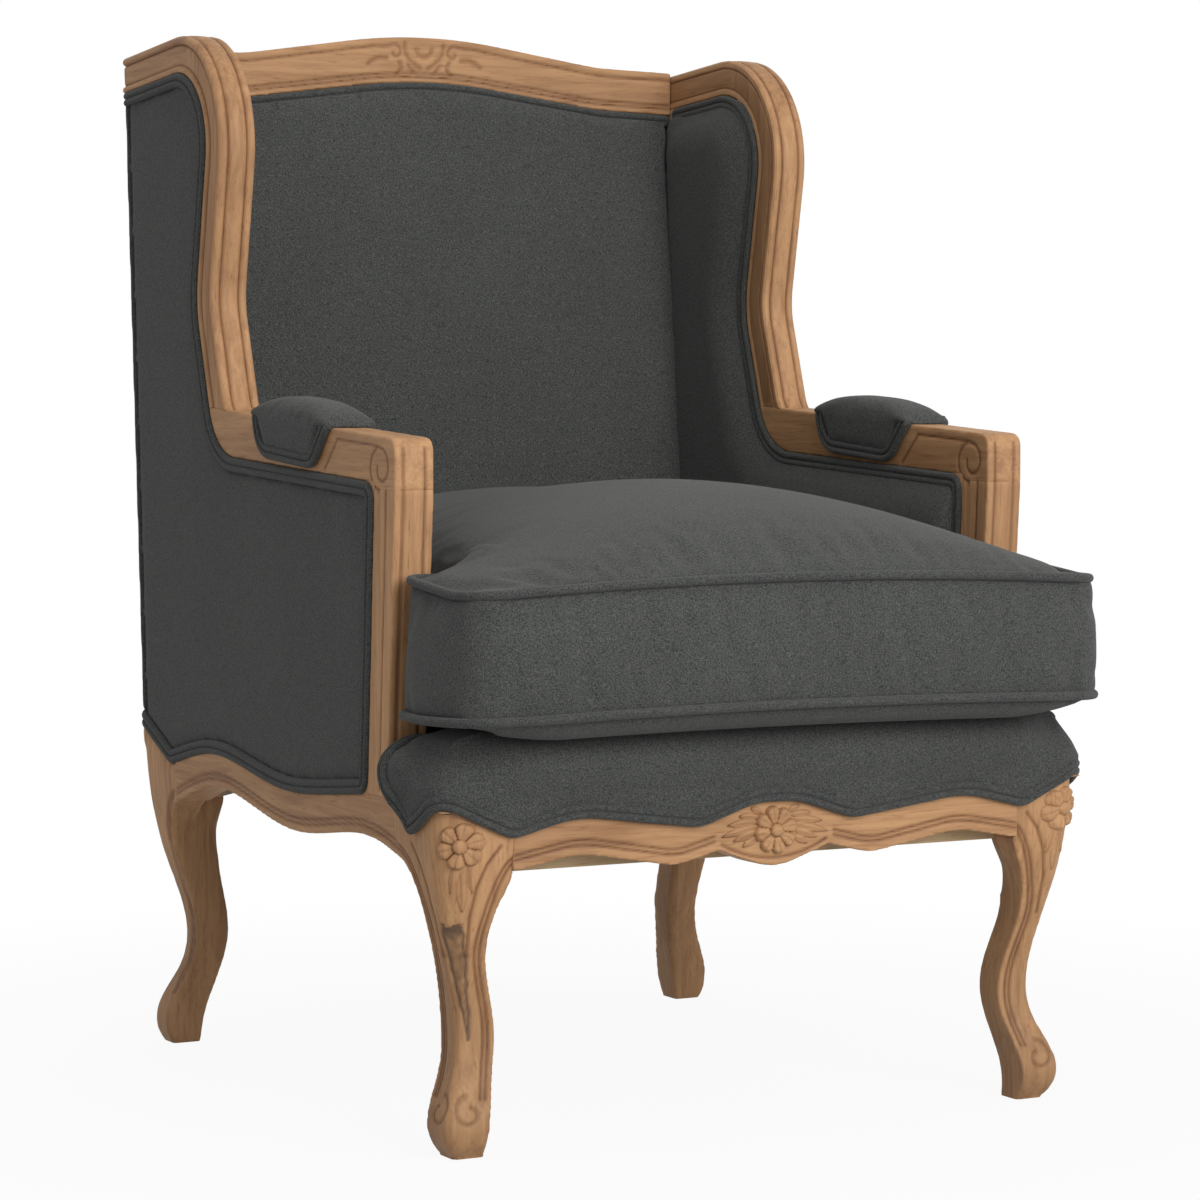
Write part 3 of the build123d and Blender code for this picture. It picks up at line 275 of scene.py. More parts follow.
def rounded(points, radii, step=0.003):
    """Points along a line whose inner corners are rounded by the radii."""
    corners = [Vector(p) for p in points]
    line = [corners[0]]
    for before, corner, after, radius in zip(corners, corners[1:], corners[2:], radii):
        back = (before - corner).normalized()
        ahead = (after - corner).normalized()
        half = back.angle(ahead) / 2
        reach = radius / math.tan(half)
        middle = corner + (back + ahead).normalized() * (radius / math.sin(half))
        start = corner + back * reach - middle
        turn = start.angle_signed(corner + ahead * reach - middle)
        steps = max(int(abs(turn) * radius / step), 2)
        for i in range(steps + 1):
            angle = -turn * i / steps
            c, s = math.cos(angle), math.sin(angle)
            line.append(middle + Vector((start.x * c - start.y * s, start.x * s + start.y * c)))
    line.append(corners[-1])
    return dense(line, step) + [line[-1]]


def dense(line, step):
    """A line with points at every step, but for its last one."""
    points = []
    for a, b in zip(line, line[1:]):
        count = max(int((b - a).length / step), 1)
        points += [a.lerp(b, i / count) for i in range(count)]
    return points


def heading(line, i):
    """The way a line runs at one of its points."""
    return (line[min(i + 1, len(line) - 1)] - line[max(i - 1, 0)]).normalized()


def beside(line, distance):
    """A line moved sideways, to the left of the way it runs."""
    ways = [heading(line, i) for i in range(len(line))]
    return [point + Vector((-way.y, way.x)) * distance for point, way in zip(line, ways)]


def softened(line, passes):
    """A line with the same ends and its bends spread out."""
    for _ in range(passes):
        inner = [(a + b * 2 + c) / 4 for a, b, c in zip(line, line[1:], line[2:])]
        line = [line[0]] + inner + [line[-1]]
    return line


def raised(line, rise):
    """A flat line moved up."""
    return [p + Vector((0, rise)) for p in line]


def height_at(line, place):
    """The height of a line of flat points above a place along it."""
    for a, b in zip(line, line[1:]):
        if min(a.x, b.x) <= place <= max(a.x, b.x) and a.x != b.x:
            return a.y + (b.y - a.y) * (place - a.x) / (b.x - a.x)
    return line[0].y if abs(place - line[0].x) < abs(place - line[-1].x) else line[-1].y


def near_tree(points):
    """A search tree of places; flat ones lie at height 0."""
    tree = KDTree(len(points))
    for i, point in enumerate(points):
        tree.insert(point.to_3d(), i)
    tree.balance()
    return tree


def incise(work, lines, axis, side, width, depth, shade_strength=1.0):
    """Sinks grooves along lines into the faces that look along an axis, and paints shade into them."""
    layer = work.verts.layers.float.get("painted_shade") or work.verts.layers.float.new("painted_shade")
    first, second = [i for i in range(3) if i != axis]
    tree = near_tree([point for line in lines for point in dense(line, GROOVE_STEP)])
    work.normal_update()
    cuts = []
    for vert in work.verts:
        if vert.normal[axis] * side > 0.4:
            distance = tree.find((vert.co[first], vert.co[second], 0))[2]
            if distance < 2.2 * width:
                cuts.append((vert, math.exp(-((distance / width) ** 2))))
    for vert, share in cuts:
        vert.co[axis] -= side * depth * share
        vert[layer] = max(vert[layer], share * shade_strength)


def pressed(work, axis, where, way):
    """Pushes the end of a member a hair into its neighbour, so that the glued joint shows no gap."""
    for vert in work.verts:
        if (vert.co[axis] - where) * way > -JOINT_ZONE:
            vert.co[axis] += way * JOINT_PRESS


def spiral(centre, start_radius, end_radius, start, turn, count=60):
    """A line that winds in towards a centre."""
    line = []
    for i in range(count + 1):
        t = i / count
        radius = start_radius + (end_radius - start_radius) * t
        angle = start + turn * t
        line.append(Vector(centre) + Vector((math.cos(angle), math.sin(angle))) * radius)
    return line


def arm_height(y):
    """The height of an arm's top, which rises to the rear."""
    return ARM_TOP + (y - ARM_FRONT) * ARM_SLOPE


front_under = rounded(
    [(FRONT_JOINT, 0.250), (0.195, 0.2612), (0.1001, 0.2450), (0.057, 0.256), (0, 0.236)],
    [0.108, 0.06, 0.003],
)
front_lines = []
for _, sign in SIDES:
    half = [Vector((sign * p.x, p.y)) for p in front_under if p.x > 0.058]
    front_lines += [raised(half, rise) for rise in (0.009, 0.0135)]
front_lines.append([Vector((x / 1000, 0.2465 + 0.0145 * (x / 54) ** 2)) for x in range(-54, 55, 2)])
rail = worn("front_rail", voxel=0.0017, passes=2)
for way in (1, -1):
    pressed(rail, 0, way * FRONT_JOINT, way)
incise(rail, front_lines, 1, -1, GROOVE, GROOVE_DEPTH)
rail_wood = piece(rail, "front_rail_wood", "chair", ["front_rail"], oak_x)
rail = worn("rear_rail", voxel=0.003, passes=2)
piece(rail, "rear_rail_wood", "chair", ["rear_rail"], oak_x)

side_under = rounded(
    [(-SIDE_JOINT, 0.256), (-0.205, 0.274), (-0.0288, 0.250), (0.162, 0.286), (SIDE_JOINT, 0.252)],
    [0.07, 0.16, 0.115],
)
side_flow = softened(side_under, 300)
# The lower border of the cloth on the sides: a plain line, and the softer flow that it is given here.
HEM_FRONT, HEM_REAR = -0.181, 0.272
hem = rounded([(HEM_FRONT, 0.3034), (-0.018, 0.287), (0.162, 0.315), (HEM_REAR, 0.290)], [0.160, 0.115])
hem_flow = softened(hem, 300)


def hem_shift(y):
    """How far the cloth's lower border flows above its plain line."""
    return height_at(hem_flow, y) - height_at(hem, y)


arm_lines = [
    [Vector((y, arm_height(y) - 0.009)) for y in (-0.134, -0.16, -0.19, -0.22)]
    + spiral((-0.2280, 0.5935), 0.0178, 0.0070, math.pi / 2, 5.0),
    spiral((-0.2245, 0.5930), 0.0185, 0.0185, 1.30, -2.9),
    [Vector((-0.134, 0.617)), Vector((-0.106, 0.590))],
    [Vector((-0.2385, 0.574)), Vector((-0.222, 0.31))],
]
for side, sign in SIDES:
    rail = worn("side_rail_" + side, voxel=0.0022, passes=2)
    for way in (-1, 1):
        pressed(rail, 1, way * SIDE_JOINT, way)
    rail.normal_update()
    for vert in rail.verts:
        low = height_at(side_under, vert.co.y)
        vert.co.z += (height_at(side_flow, vert.co.y) - low) * ramp(vert.co.z, low + 0.034, low + 0.014)
        if vert.normal.z > 0.3 and vert.co.z > low + 0.026:
            vert.co.z += max(hem_shift(vert.co.y), 0) + 0.002
    side_lines = [raised(side_flow, rise) for rise in (0.008, 0.013)]
    incise(rail, side_lines, 0, sign, WIDE_GROOVE, WIDE_GROOVE)
    piece(rail, "side_rail_" + side + "_wood", "chair", ["side_rail_" + side], oak_y)
    front_cuts = [[Vector((sign * x, 0.307)), Vector((sign * x, 0.6125))] for x in (0.2975, 0.3185)]
    for node, material in (("arm_" + side, oak_y), ("arm_post_" + side, oak_z)):
        member = worn(node, voxel=0.0018, passes=2)
        if material is oak_z:
            pressed(member, 2, POST_TOP, 1)
        for way in (1, -1):
            incise(member, arm_lines, 0, way, GROOVE, GROOVE_DEPTH)
        incise(member, front_cuts, 1, -1, GROOVE, GROOVE_DEPTH)
        piece(member, node + "_wood", "chair", [node], material)

# Crest rail: the arched board that closes the back above, with a shallow shell between two scrolls.
# A bead runs along its lower edge, and its upper groove ends in the scrolls.
CREST_PEAK = 0.578
crest_low = rounded([(0.289, 0.957), (0.2023, 0.960), (0, 0.98675)], [0.1994])
crest_top = rounded([(0.289, 1.002), (0.2023, 1.005), (0, 1.03575)], [0.1994])
CREST_STROKES = (
    ((0.0225, 1.021), (0.0215, 1.012), (0.017, 1.005), (0.009, 0.999), (0.003, 0.9955)),
    ((0.0090, 1.016), (0.0065, 1.010), (0.0, 1.0075)),
    ((0.0290, 1.003), (0.026, 0.998), (0.028, 0.9925), (0.033, 0.9885)),
    ((0.0180, 1.000), (0.014, 0.995), (0.0125, 0.990)),
    ((0.0430, 1.006), (0.052, 1.0065), (0.060, 1.003), (0.066, 0.9985)),
)


def arched(half, rise):
    """The whole of an arch from its right half, with its peak rounded, moved up or down."""
    peak = half[-1].y
    reach = CREST_PEAK * abs((half[-2].y - peak) / half[-2].x)
    line = []
    for sign in (1, -1):
        run = []
        for p in half:
            drop = (reach - p.x) ** 2 / (2 * CREST_PEAK) if p.x < reach else 0
            run.append(Vector((sign * p.x, p.y - drop + rise)))
        line += run if sign == 1 else run[::-1][1:]
    return line


crest_lines = [arched(crest_low, 0.0060), arched(crest_low, 0.0100)]
shell_lines = []
for _, sign in SIDES:
    tail = [p for p in arched(crest_top, -0.0088) if p.x * sign > 0.066]
    tail = tail if abs(tail[0].x) < abs(tail[-1].x) else tail[::-1]
    curl = spiral((sign * 0.0335, 1.0125), 0.0025, 0.0085, math.pi / 2 + sign * 4.6, -sign * 5.1, 40)
    crest_lines.append(curl + [Vector((sign * 0.046, 1.0185)), Vector((sign * 0.056, 1.0185))] + tail)
    for stroke in CREST_STROKES:
        shell_lines.append(rounded([(sign * x, z) for x, z in stroke], [0.006] * (len(stroke) - 2), 0.001))
rail = worn("crest_rail", voxel=0.0018, passes=2)
incise(rail, crest_lines, 1, -1, GROOVE, GROOVE_DEPTH, shade_strength=0.75)
incise(rail, shell_lines, 1, -1, 0.0021, 0.0019, shade_strength=0.6)
piece(rail, "crest_rail_wood", "chair", ["crest_rail"], oak_x)

# Corner fillets: the carver left the two front corners of each side opening rounded.
# Each is a sliver of the post's wood between the square corner and the curve of the welt.
OPENING = [
    (0.3911, 0.9603), (0.1561, 0.9774), (0.201, 0.7449), (0.154, 0.5995), (-0.213, 0.581), (-0.197, 0.305),
    (-0.018, 0.287), (0.162, 0.315), (0.272, 0.290), (0.3512, 0.324),
]
FILLET = 0.017
FILLET_INSIDE, FILLET_OUTSIDE = 0.2895, 0.3262
for side, sign in SIDES:
    fillet = bmesh.new()
    for before, corner, after in zip(OPENING[3:5], OPENING[4:6], OPENING[5:7]):
        curve = rounded([before, corner, after], [FILLET], 0.002)
        curve = [p for p in curve if (p - Vector(corner)).length < 0.022]
        away = (Vector(corner) - curve[len(curve) // 2]).normalized()
        edge = [Vector(corner) + away * 0.002] + curve
        near = [fillet.verts.new((sign * FILLET_INSIDE, p.x, p.y)) for p in edge]
        far = [fillet.verts.new((sign * FILLET_OUTSIDE, p.x, p.y)) for p in edge]
        fillet.faces.new(near)
        fillet.faces.new(far)
        for i in range(len(edge)):
            j = (i + 1) % len(edge)
            fillet.faces.new((near[i], near[j], far[j], far[i]))
    piece(fillet, "corner_fillets_" + side, "chair", [], oak_z, sharp=35)

# Wings: one moulding bent round the side opening, with beads beside the cloth and a rounded outer corner.
# The profile runs along the opening's edge: n is the distance from the cloth, x the place across the wing,
# and the third value says how deep in a groove the point lies, and so how much shade is painted there.
WING_TURN = 0.075
WING_JOINT = 0.225
wing_line = rounded(OPENING[:5], [WING_TURN, 0.1102, 0.0679], 0.004)
MOULDING = [
    (0.0000, 0.2915, 0), (0.0000, 0.3245, 0), (0.0010, 0.3264, 0), (0.0030, 0.3272, 0), (0.0052, 0.3268, 0),
    (0.0066, 0.3252, 0.4), (0.0074, 0.3240, 1), (0.0090, 0.3246, 0.4), (0.0110, 0.3250, 0),
    (0.0245, 0.3250, 0), (0.0262, 0.3244, 0.4), (0.0274, 0.3232, 1), (0.0284, 0.3246, 0.4),
    (0.0300, 0.3262, 0), (0.0322, 0.3264, 0), (0.0344, 0.3252, 0), (0.0358, 0.3232, 0), (0.0364, 0.3206, 0),
    (0.0358, 0.3184, 0.4), (0.0346, 0.3172, 1), (0.0356, 0.3160, 0.4), (0.0368, 0.3140, 0),
    (0.0370, 0.3080, 0), (0.0368, 0.3010, 0), (0.0358, 0.2990, 0.4), (0.0345, 0.2980, 1),
    (0.0358, 0.2968, 0.4), (0.0366, 0.2940, 0), (0.0362, 0.2912, 0), (0.0345, 0.2894, 0),
    (0.0312, 0.2890, 0), (0.0294, 0.2893, 0.4), (0.0280, 0.2906, 1), (0.0266, 0.2893, 0.4),
    (0.0100, 0.2892, 0.3), (0.0078, 0.2904, 1), (0.0066, 0.2896, 0.3), (0.0040, 0.2888, 0),
    (0.0015, 0.2894, 0),
]
for side, sign in SIDES:
    for node, keep in (("wing_top_" + side, 1), ("wing_stile_" + side, -1)):
        wing = bmesh.new()
        layer = wing.verts.layers.float.new("painted_shade")
        rings = []
        for i, point in enumerate(wing_line):
            way = heading(wing_line, i)
            ring = []
            for n, x, shade_in_groove in MOULDING:
                spot = point + Vector((way.y, -way.x)) * n
                vert = wing.verts.new((sign * x, spot.x, spot.y))
                vert[layer] = shade_in_groove * 0.8
                ring.append(vert)
            rings.append(ring)
        for a, b in zip(rings, rings[1:]):
            for i in range(len(MOULDING)):
                j = (i + 1) % len(MOULDING)
                wing.faces.new((a[i], a[j], b[j], b[i]))
        wing.faces.new(rings[0])
        wing.faces.new(rings[-1])
        cuts = [((0, WING_JOINT, 0.9), (0, -keep, 0)), ((0, ARM_FRONT, ARM_TOP), (0, ARM_SLOPE, -1))]
        for where, away in cuts[:1] if keep == 1 else cuts:
            everything = list(wing.verts) + list(wing.edges) + list(wing.faces)
            cut = bmesh.ops.bisect_plane(
                wing, geom=everything, plane_co=where, plane_no=away, clear_outer=True
            )
            rim = [e for e in cut["geom_cut"] if isinstance(e, bmesh.types.BMEdge)]
            bmesh.ops.edgeloop_fill(wing, edges=rim)
        material = oak_y if keep == 1 else oak_z
        piece(wing, node + "_wood", "chair", [node], material, sharp=35)

# Cabriole legs: each is sawn from the square on two sides and rounded over at the knee, with grooves along
# its edges that bend into the rails, to which it is dowelled. The left front leg has a dark split in its
# corner, wide above and running out below.
LEVEL = 0.004
LEVELS = int(0.33 / LEVEL) + 2
KNEE_SWEEP = (
    (0.180, 0.2766), (0.190, 0.2761), (0.200, 0.2747), (0.210, 0.2723), (0.220, 0.2692), (0.230, 0.2651),
    (0.240, 0.2608), (0.246, 0.2588), (0.256, 0.2575),
)
KNEE_FLOW = ((0.272, 0.058), (0.257, 0.044), (0.236, 0.032), (0.21, 0.023), (0.175, 0.015))
GROOVE_FOOT, GROOVE_KNEE = 0.052, 0.24
BEND_START, BEND_HEIGHT = 0.212, 0.238
REAR_INSET = 0.008
TOE_GROOVE = 0.0019
LEDGE_LOW, LEDGE_HIGH, LEDGE_LIFT = 0.224, 0.2395, 0.026
SHAPED_TOP, KNEE_TOP = 0.302, 0.252
FLOOR_SNAP = 0.0015
SPLIT_FACE = Vector((-0.468, -0.884))
SPLIT = (
    (0.100, 0.0086, 0.0098), (0.136, 0.0020, 0.0100), (0.163, -0.0013, 0.0118), (0.194, -0.0050, 0.0128),
    (0.206, -0.0057, 0.0128),
)


def interpolated(table, z):
    """The values that rows, each with its height first, give at a height; none outside their range."""
    for below, above in zip(table, table[1:]):
        if below[0] <= z < above[0]:
            t = (z - below[0]) / (above[0] - below[0])
            return [a + (b - a) * t for a, b in zip(below[1:], above[1:])]
    return None


def at(row, z):
    """A measure of a leg at a height, from its row of levels."""
    place = min(max(z / LEVEL, 0), LEVELS - 3)
    low = int(place)
    return row[low] + (row[low + 1] - row[low]) * (place - low)


def rounded_off(dx, dy, radius):
    """The distances of a point from two faces once the edge between them is rounded."""
    reach = math.hypot(radius - dx, radius - dy)
    if dx < radius and dy < radius and reach > radius:
        pull = radius / reach
        return radius - (radius - dx) * pull, radius - (radius - dy) * pull
    return dx, dy


def smoothed(work, verts, factor, passes=1):
    """Draws points towards their neighbours."""
    for _ in range(passes):
        bmesh.ops.smooth_vert(
            work, verts=verts, factor=factor, use_axis_x=True, use_axis_y=True, use_axis_z=True
        )


def split_open(leg, far_x, far_y):
    """Sinks the split in a leg's corner and paints shade into it; its borders are ragged."""
    layer = leg.verts.layers.float.new("split")
    leg.normal_update()
    sunk = []
    for vert in leg.verts:
        z = vert.co.z
        borders = interpolated(SPLIT, z)
        if borders and vert.normal.xy.dot(SPLIT_FACE) > 0.2:
            corner = Vector((at(far_x, z), at(far_y, z)))
            across = (vert.co.xy + corner).dot(Vector((-SPLIT_FACE.y, SPLIT_FACE.x)))
            across += 0.0016 * noise.noise(vert.co * 110)
            top = 0.204 + 0.005 * noise.noise(vert.co * 210)
            inside = min(across - borders[0], borders[1] - across, top - z)
            if inside > -0.0015:
                rim = math.exp(-(((inside - 0.0006) / 0.0016) ** 2))
                cap = ramp(z, 0.188, 0.198) * (inside > 0)
                core = (0.42 + 0.45 * noise.noise(vert.co * 150)) * (inside > 0)
                sunk.append((vert, min(max(0.85 * rim, core, 0.8 * cap), 1)))
    # The split is sunk a little and painted with shade, darkest at its rim and in its core.
    for vert, dark in sunk:
        vert.co -= vert.normal * (0.0014 * dark)
        vert[layer] = dark


for side, sign in SIDES:
    for end, front in (("front", -1), ("rear", 1)):
        node = end + "_leg_" + side
        in_front = end == "front"
        leg = worn(node, voxel=0.0017 if in_front else 0.0024, passes=6)
        # How far the square leg reaches at each level, outwards and inwards.
        far_x, far_y, near_x, near_y = [0] * LEVELS, [0] * LEVELS, [9] * LEVELS, [9] * LEVELS
        for vert in leg.verts:
            level = int(vert.co.z / LEVEL + 0.5)
            x, y = sign * vert.co.x, front * vert.co.y
            far_x[level] = max(far_x[level], x)
            far_y[level] = max(far_y[level], y)
            near_x[level] = min(near_x[level], x)
            near_y[level] = min(near_y[level], y)
        if in_front:
            # The inner side of the knee sweeps out into the front rail, and both joints are closed.
            for vert in leg.verts:
                swept = interpolated(KNEE_SWEEP, vert.co.z)
                if swept:
                    x_far, x_near = at(far_x, vert.co.z), at(near_x, vert.co.z)
                    share = (x_far - swept[0]) / (x_far - x_near)
                    vert.co.x = sign * (x_far - (x_far - sign * vert.co.x) * share)
            leg.normal_update()
            for vert in leg.verts:
                swept = interpolated(KNEE_SWEEP[5:], vert.co.z)
                if swept and sign * vert.normal.x < -0.5 and sign * vert.co.x < swept[0] + 0.012:
                    vert.co.x = sign * swept[0]
            for level in range(LEVELS):
                swept = interpolated(KNEE_SWEEP, level * LEVEL)
                if swept:
                    near_x[level] = swept[0]
            for vert in leg.verts:
                if vert.co.z > 0.256 and sign * vert.co.x < FRONT_JOINT + JOINT_ZONE:
                    vert.co.x -= sign * JOINT_PRESS
                if vert.co.z > 0.260 and vert.co.y > -SIDE_JOINT - JOINT_ZONE:
                    vert.co.y += JOINT_PRESS
        # Behind the rails, the ledge of the notch in the leg is raised out of sight.
        inner_y = 0.3135 if in_front else 0.3115
        for vert in leg.verts:
            behind = sign * vert.co.x < 0.2885 and front * vert.co.y < inner_y
            if behind and LEDGE_LOW < vert.co.z < LEDGE_HIGH:
                vert.co.z += LEDGE_LIFT * min((vert.co.z - LEDGE_LOW) / 0.006, 1)
        # The outer edge is rounded, more at the knee than below, and so is the inner one up to the knee.
        for vert in leg.verts:
            z = vert.co.z
            if z > SHAPED_TOP:
                continue
            outer_edge = 0.010 + (0.016 if in_front else 0.003) * ramp(z, 0.09, 0.25)
            x_far, y_far = at(far_x, z), at(far_y, z)
            dx, dy = rounded_off(x_far - sign * vert.co.x, y_far - front * vert.co.y, outer_edge)
            vert.co.x = sign * (x_far - dx)
            vert.co.y = front * (y_far - dy)
            if z < KNEE_TOP:
                inner_edge = 0.006 + 0.020 * ramp(z, 0.19, 0.22) - 0.018 * ramp(z, 0.222, 0.248) ** 2
                x_near, y_near = at(near_x, z), at(near_y, z)
                dx, dy = rounded_off(sign * vert.co.x - x_near, front * vert.co.y - y_near, inner_edge)
                vert.co.x = sign * (x_near + dx)
                vert.co.y = front * (y_near + dy)
        smoothed(leg, leg.verts, 0.4)
        rubbed = leg.verts[:]
        if in_front:
            rubbed = [
                vert for vert in leg.verts
                if 0.19 < vert.co.z < 0.262 and front * vert.co.y < at(near_y, vert.co.z) + 0.034
                and sign * vert.co.x < at(near_x, vert.co.z) + 0.030
            ]
        smoothed(leg, rubbed, 0.5, passes=25 if in_front else 8)
        # Two grooves along each inner edge, which bend into those of the rails.
        heights = [GROOVE_FOOT + i * LEVEL for i in range(int((GROOVE_KNEE - GROOVE_FOOT) / LEVEL))]
        face_x, face_y = [], []
        joints = [(face_y, near_y, front, SIDE_JOINT, 0.252)]
        if in_front:
            joints = [(face_x, near_x, sign, FRONT_JOINT, 0.250), (face_y, near_y, front, SIDE_JOINT, 0.256)]
        for inset, rise in ((0.0072, 0.009), (0.0118, 0.0135)):
            for face, row, way, joint, under in joints:
                run = [Vector((way * (at(row, z) + inset), z)) for z in heights if z < BEND_START]
                last = run[-1]
                bend = Vector((way * (at(row, BEND_HEIGHT) + inset), under + rise * 0.6))
                root = Vector((way * (joint - 0.003), under + rise))
                for i in range(1, 13):
                    t = i / 12
                    run.append(last * (1 - t) ** 2 + bend * (2 * t * (1 - t)) + root * t ** 2)
                face.append(run)
        if in_front:
            toes = []
            for face, row, way in ((face_x, far_x, sign), (face_y, far_y, front)):
                toe = (way * (at(row, 0.04) - 0.021), 0.041)
                toes.append([spiral(toe, 0.0145, 0.0050, math.pi / 2, -way * 5.9)])
                face.append([Vector((way * (at(row, z) - inset), z)) for z, inset in KNEE_FLOW])
            incise(leg, face_x, 1, -1, WIDE_GROOVE, GROOVE_DEPTH)
            incise(leg, face_y, 0, sign, WIDE_GROOVE, GROOVE_DEPTH)
            incise(leg, toes[0], 1, -1, TOE_GROOVE, GROOVE_DEPTH, shade_strength=0.6)
            incise(leg, toes[1], 0, sign, TOE_GROOVE, GROOVE_DEPTH, shade_strength=0.6)
            if side == "left":
                split_open(leg, far_x, far_y)
        else:
            face_x.append([Vector((sign * (at(far_x, z) - REAR_INSET), z)) for z in heights])
            face_y.append([Vector((front * (at(far_y, z) - REAR_INSET), z)) for z in heights])
            incise(leg, face_x, 1, 1, GROOVE, GROOVE_DEPTH)
            incise(leg, face_y, 0, sign, GROOVE, GROOVE_DEPTH)
        for vert in leg.verts:
            if vert.co.z < FLOOR_SNAP:
                vert.co.z = 0
        piece(leg, node + "_wood", "chair", [node], oak_z)

# Carved flowers on the knees and at the middle of the front rail, with leaf sprays beside the middle one.
# They are cut in the wood of the leg or rail: each is a fine patch laid on its surface and raised, with shade
# painted into its gaps, veins and outline.
FLOWER_DEPTH = 0.0055
FLOWER_BUTTON = 0.0060
FRONT_MIDDLE = Vector((0, -0.352, 0.2715))
TO_RIGHT, TO_FRONT = Vector((1, 0, 0)), Vector((0, -1, 0))
SPRAY = (
    ((0.019, -0.006), (0.034, -0.014), 0.0042), ((0.019, 0.000), (0.044, -0.009), 0.0044),
    ((0.019, 0.004), (0.056, -0.004), 0.0046), ((0.019, 0.008), (0.050, 0.006), 0.0046),
    ((0.018, 0.012), (0.038, 0.014), 0.0044), ((0.014, 0.016), (0.026, 0.021), 0.0040),
)
KNEE_DROP = (
    ((0, -0.006), (0, -0.040), 0.0060), ((-0.006, 0.0), (-0.0095, -0.024), 0.0040),
    ((0.006, 0.0), (0.0095, -0.024), 0.0040),
)


def raised_patch(name, under, centre, right, out, half, step, height, material):
    """A fine grid laid on the surface of a piece, raised by a height function that also gives the shade
    painted on it.
    """
    places = [v.co.copy() for v in under.data.vertices]
    ground = BVHTree.FromPolygons(places, [tuple(p.vertices) for p in under.data.polygons])
    up = out.cross(right)
    patch = bmesh.new()
    layer = patch.verts.layers.float.new("painted_shade")
    grid = {}
    count_u, count_v = int(2 * half[0] / step), int(2 * half[1] / step)
    for i in range(count_u + 1):
        for j in range(count_v + 1):
            u, v = -half[0] + i * step, -half[1] + j * step
            rise, shade = height(u, v)
            if rise is None:
                continue
            hit = ground.ray_cast(centre + right * u + up * v + out * 0.05, -out)[0]
            if hit is None:
                continue
            grid[i, j] = patch.verts.new(hit + out * rise)
            grid[i, j][layer] = shade
    for i in range(count_u):
        for j in range(count_v):
            ring = [grid.get(k) for k in ((i, j), (i + 1, j), (i + 1, j + 1), (i, j + 1))]
            if all(ring):
                patch.faces.new(ring)
    loose = [v for v in patch.verts if not v.link_faces]
    bmesh.ops.delete(patch, geom=loose, context="VERTS")
    piece(patch, name, "chair", [], material)


def flower(u, v, petals, radius):
    """Height and shade of a carved flower at a place on its face."""
    r = math.hypot(u, v)
    part = (math.atan2(v, u) * petals / (2 * math.pi) + 0.25) % 1 - 0.5
    t = 2 * abs(part)
    edge = radius * (1 - 0.20 * t ** 2.6)
    if r < FLOWER_BUTTON:
        return FLOWER_DEPTH * 0.75 + math.sqrt(FLOWER_BUTTON ** 2 - r ** 2) * 0.5, 0
    if r > edge + 0.0016:
        return None, 0
    if r > edge:
        return -0.0008, 0.75
    rim = min((edge - r) / (radius * 0.12), 1) ** 0.5
    round_over = (1 - t ** 5) ** 0.5
    vein = math.exp(-((part / 0.045) ** 2)) * 0.16 * min(r / radius * 1.4, 1)
    cup = 0.38 + 0.72 * r / radius - 0.30 * max(r / radius - 0.72, 0)
    gap = max(t - 0.86, 0) / 0.14
    neck = math.exp(-(((r - FLOWER_BUTTON) / 0.0011) ** 2))
    shade = min(0.6 * gap ** 1.5 + 1.6 * vein + 0.6 * neck, 0.7)
    return FLOWER_DEPTH * (rim * round_over * cup - vein), shade


def leaf(u, v, lobes, depth):
    """Height and shade of a spray of pointed lobes, each from a root to a tip with a width."""
    best, shade = None, 0
    for (u0, v0), (u1, v1), width in lobes:
        axis = Vector((u1 - u0, v1 - v0))
        length = axis.length
        axis.normalize()
        s = ((u - u0) * axis.x + (v - v0) * axis.y) / length
        d = abs(-(u - u0) * axis.y + (v - v0) * axis.x)
        w = width * math.sin(math.pi * min(max(s * 0.86 + 0.12, 0), 1))
        if not -0.05 < s < 1.05 or w <= 0 or d > w * 1.15:
            continue
        h = depth * (1 - (d / w) ** 2) * (0.6 + 0.4 * s) - 0.0005 if d <= w else -0.0006
        if best is None or h > best:
            best = h
            shade = 0.8 * (d / w) ** 4 + 0.5 * math.exp(-((d / 0.0008) ** 2))
    return best, min(shade, 0.9)


raised_patch(
    "front_flower", rail_wood, FRONT_MIDDLE, TO_RIGHT, TO_FRONT, half=(0.026, 0.026), step=0.0008,
    height=lambda u, v: flower(u, v, petals=8, radius=0.0220), material=oak_x,
)
for side, sign in SIDES:
    spray = [((sign * u0, v0), (sign * u1, v1), width) for (u0, v0), (u1, v1), width in SPRAY]
    raised_patch(
        "front_spray_" + side, rail_wood, FRONT_MIDDLE, TO_RIGHT, TO_FRONT, half=(0.062, 0.026), step=0.0009,
        height=lambda u, v: leaf(u, v, spray, depth=0.0030), material=oak_x,
    )
    knee_wood = bpy.data.objects["front_leg_" + side + "_wood"]
    out = Vector((sign * 0.58, -0.815, 0)).normalized()
    right = Vector((0.815, sign * 0.58, 0)).normalized()
    raised_patch(
        "knee_flower_" + side, knee_wood, Vector((sign * 0.309, -0.349, 0.2740)), right, out,
        half=(0.025, 0.025), step=0.0008, height=lambda u, v: flower(u, v, petals=6, radius=0.0205),
        material=oak_z,
    )
    raised_patch(
        "knee_leaf_" + side, knee_wood, Vector((sign * 0.309, -0.349, 0.2550)), right, out,
        half=(0.016, 0.046), step=0.0009, height=lambda u, v: leaf(u, v, KNEE_DROP, depth=0.0020),
        material=oak_z,
    )

# Inner frame: posts, rail, battens, corner blocks and dowels of plain pale wood, unseen but for the battens.
# All are shown as the CAD has them, but for the front batten, which is drawn a little longer.
BATTEN_END = 0.2615


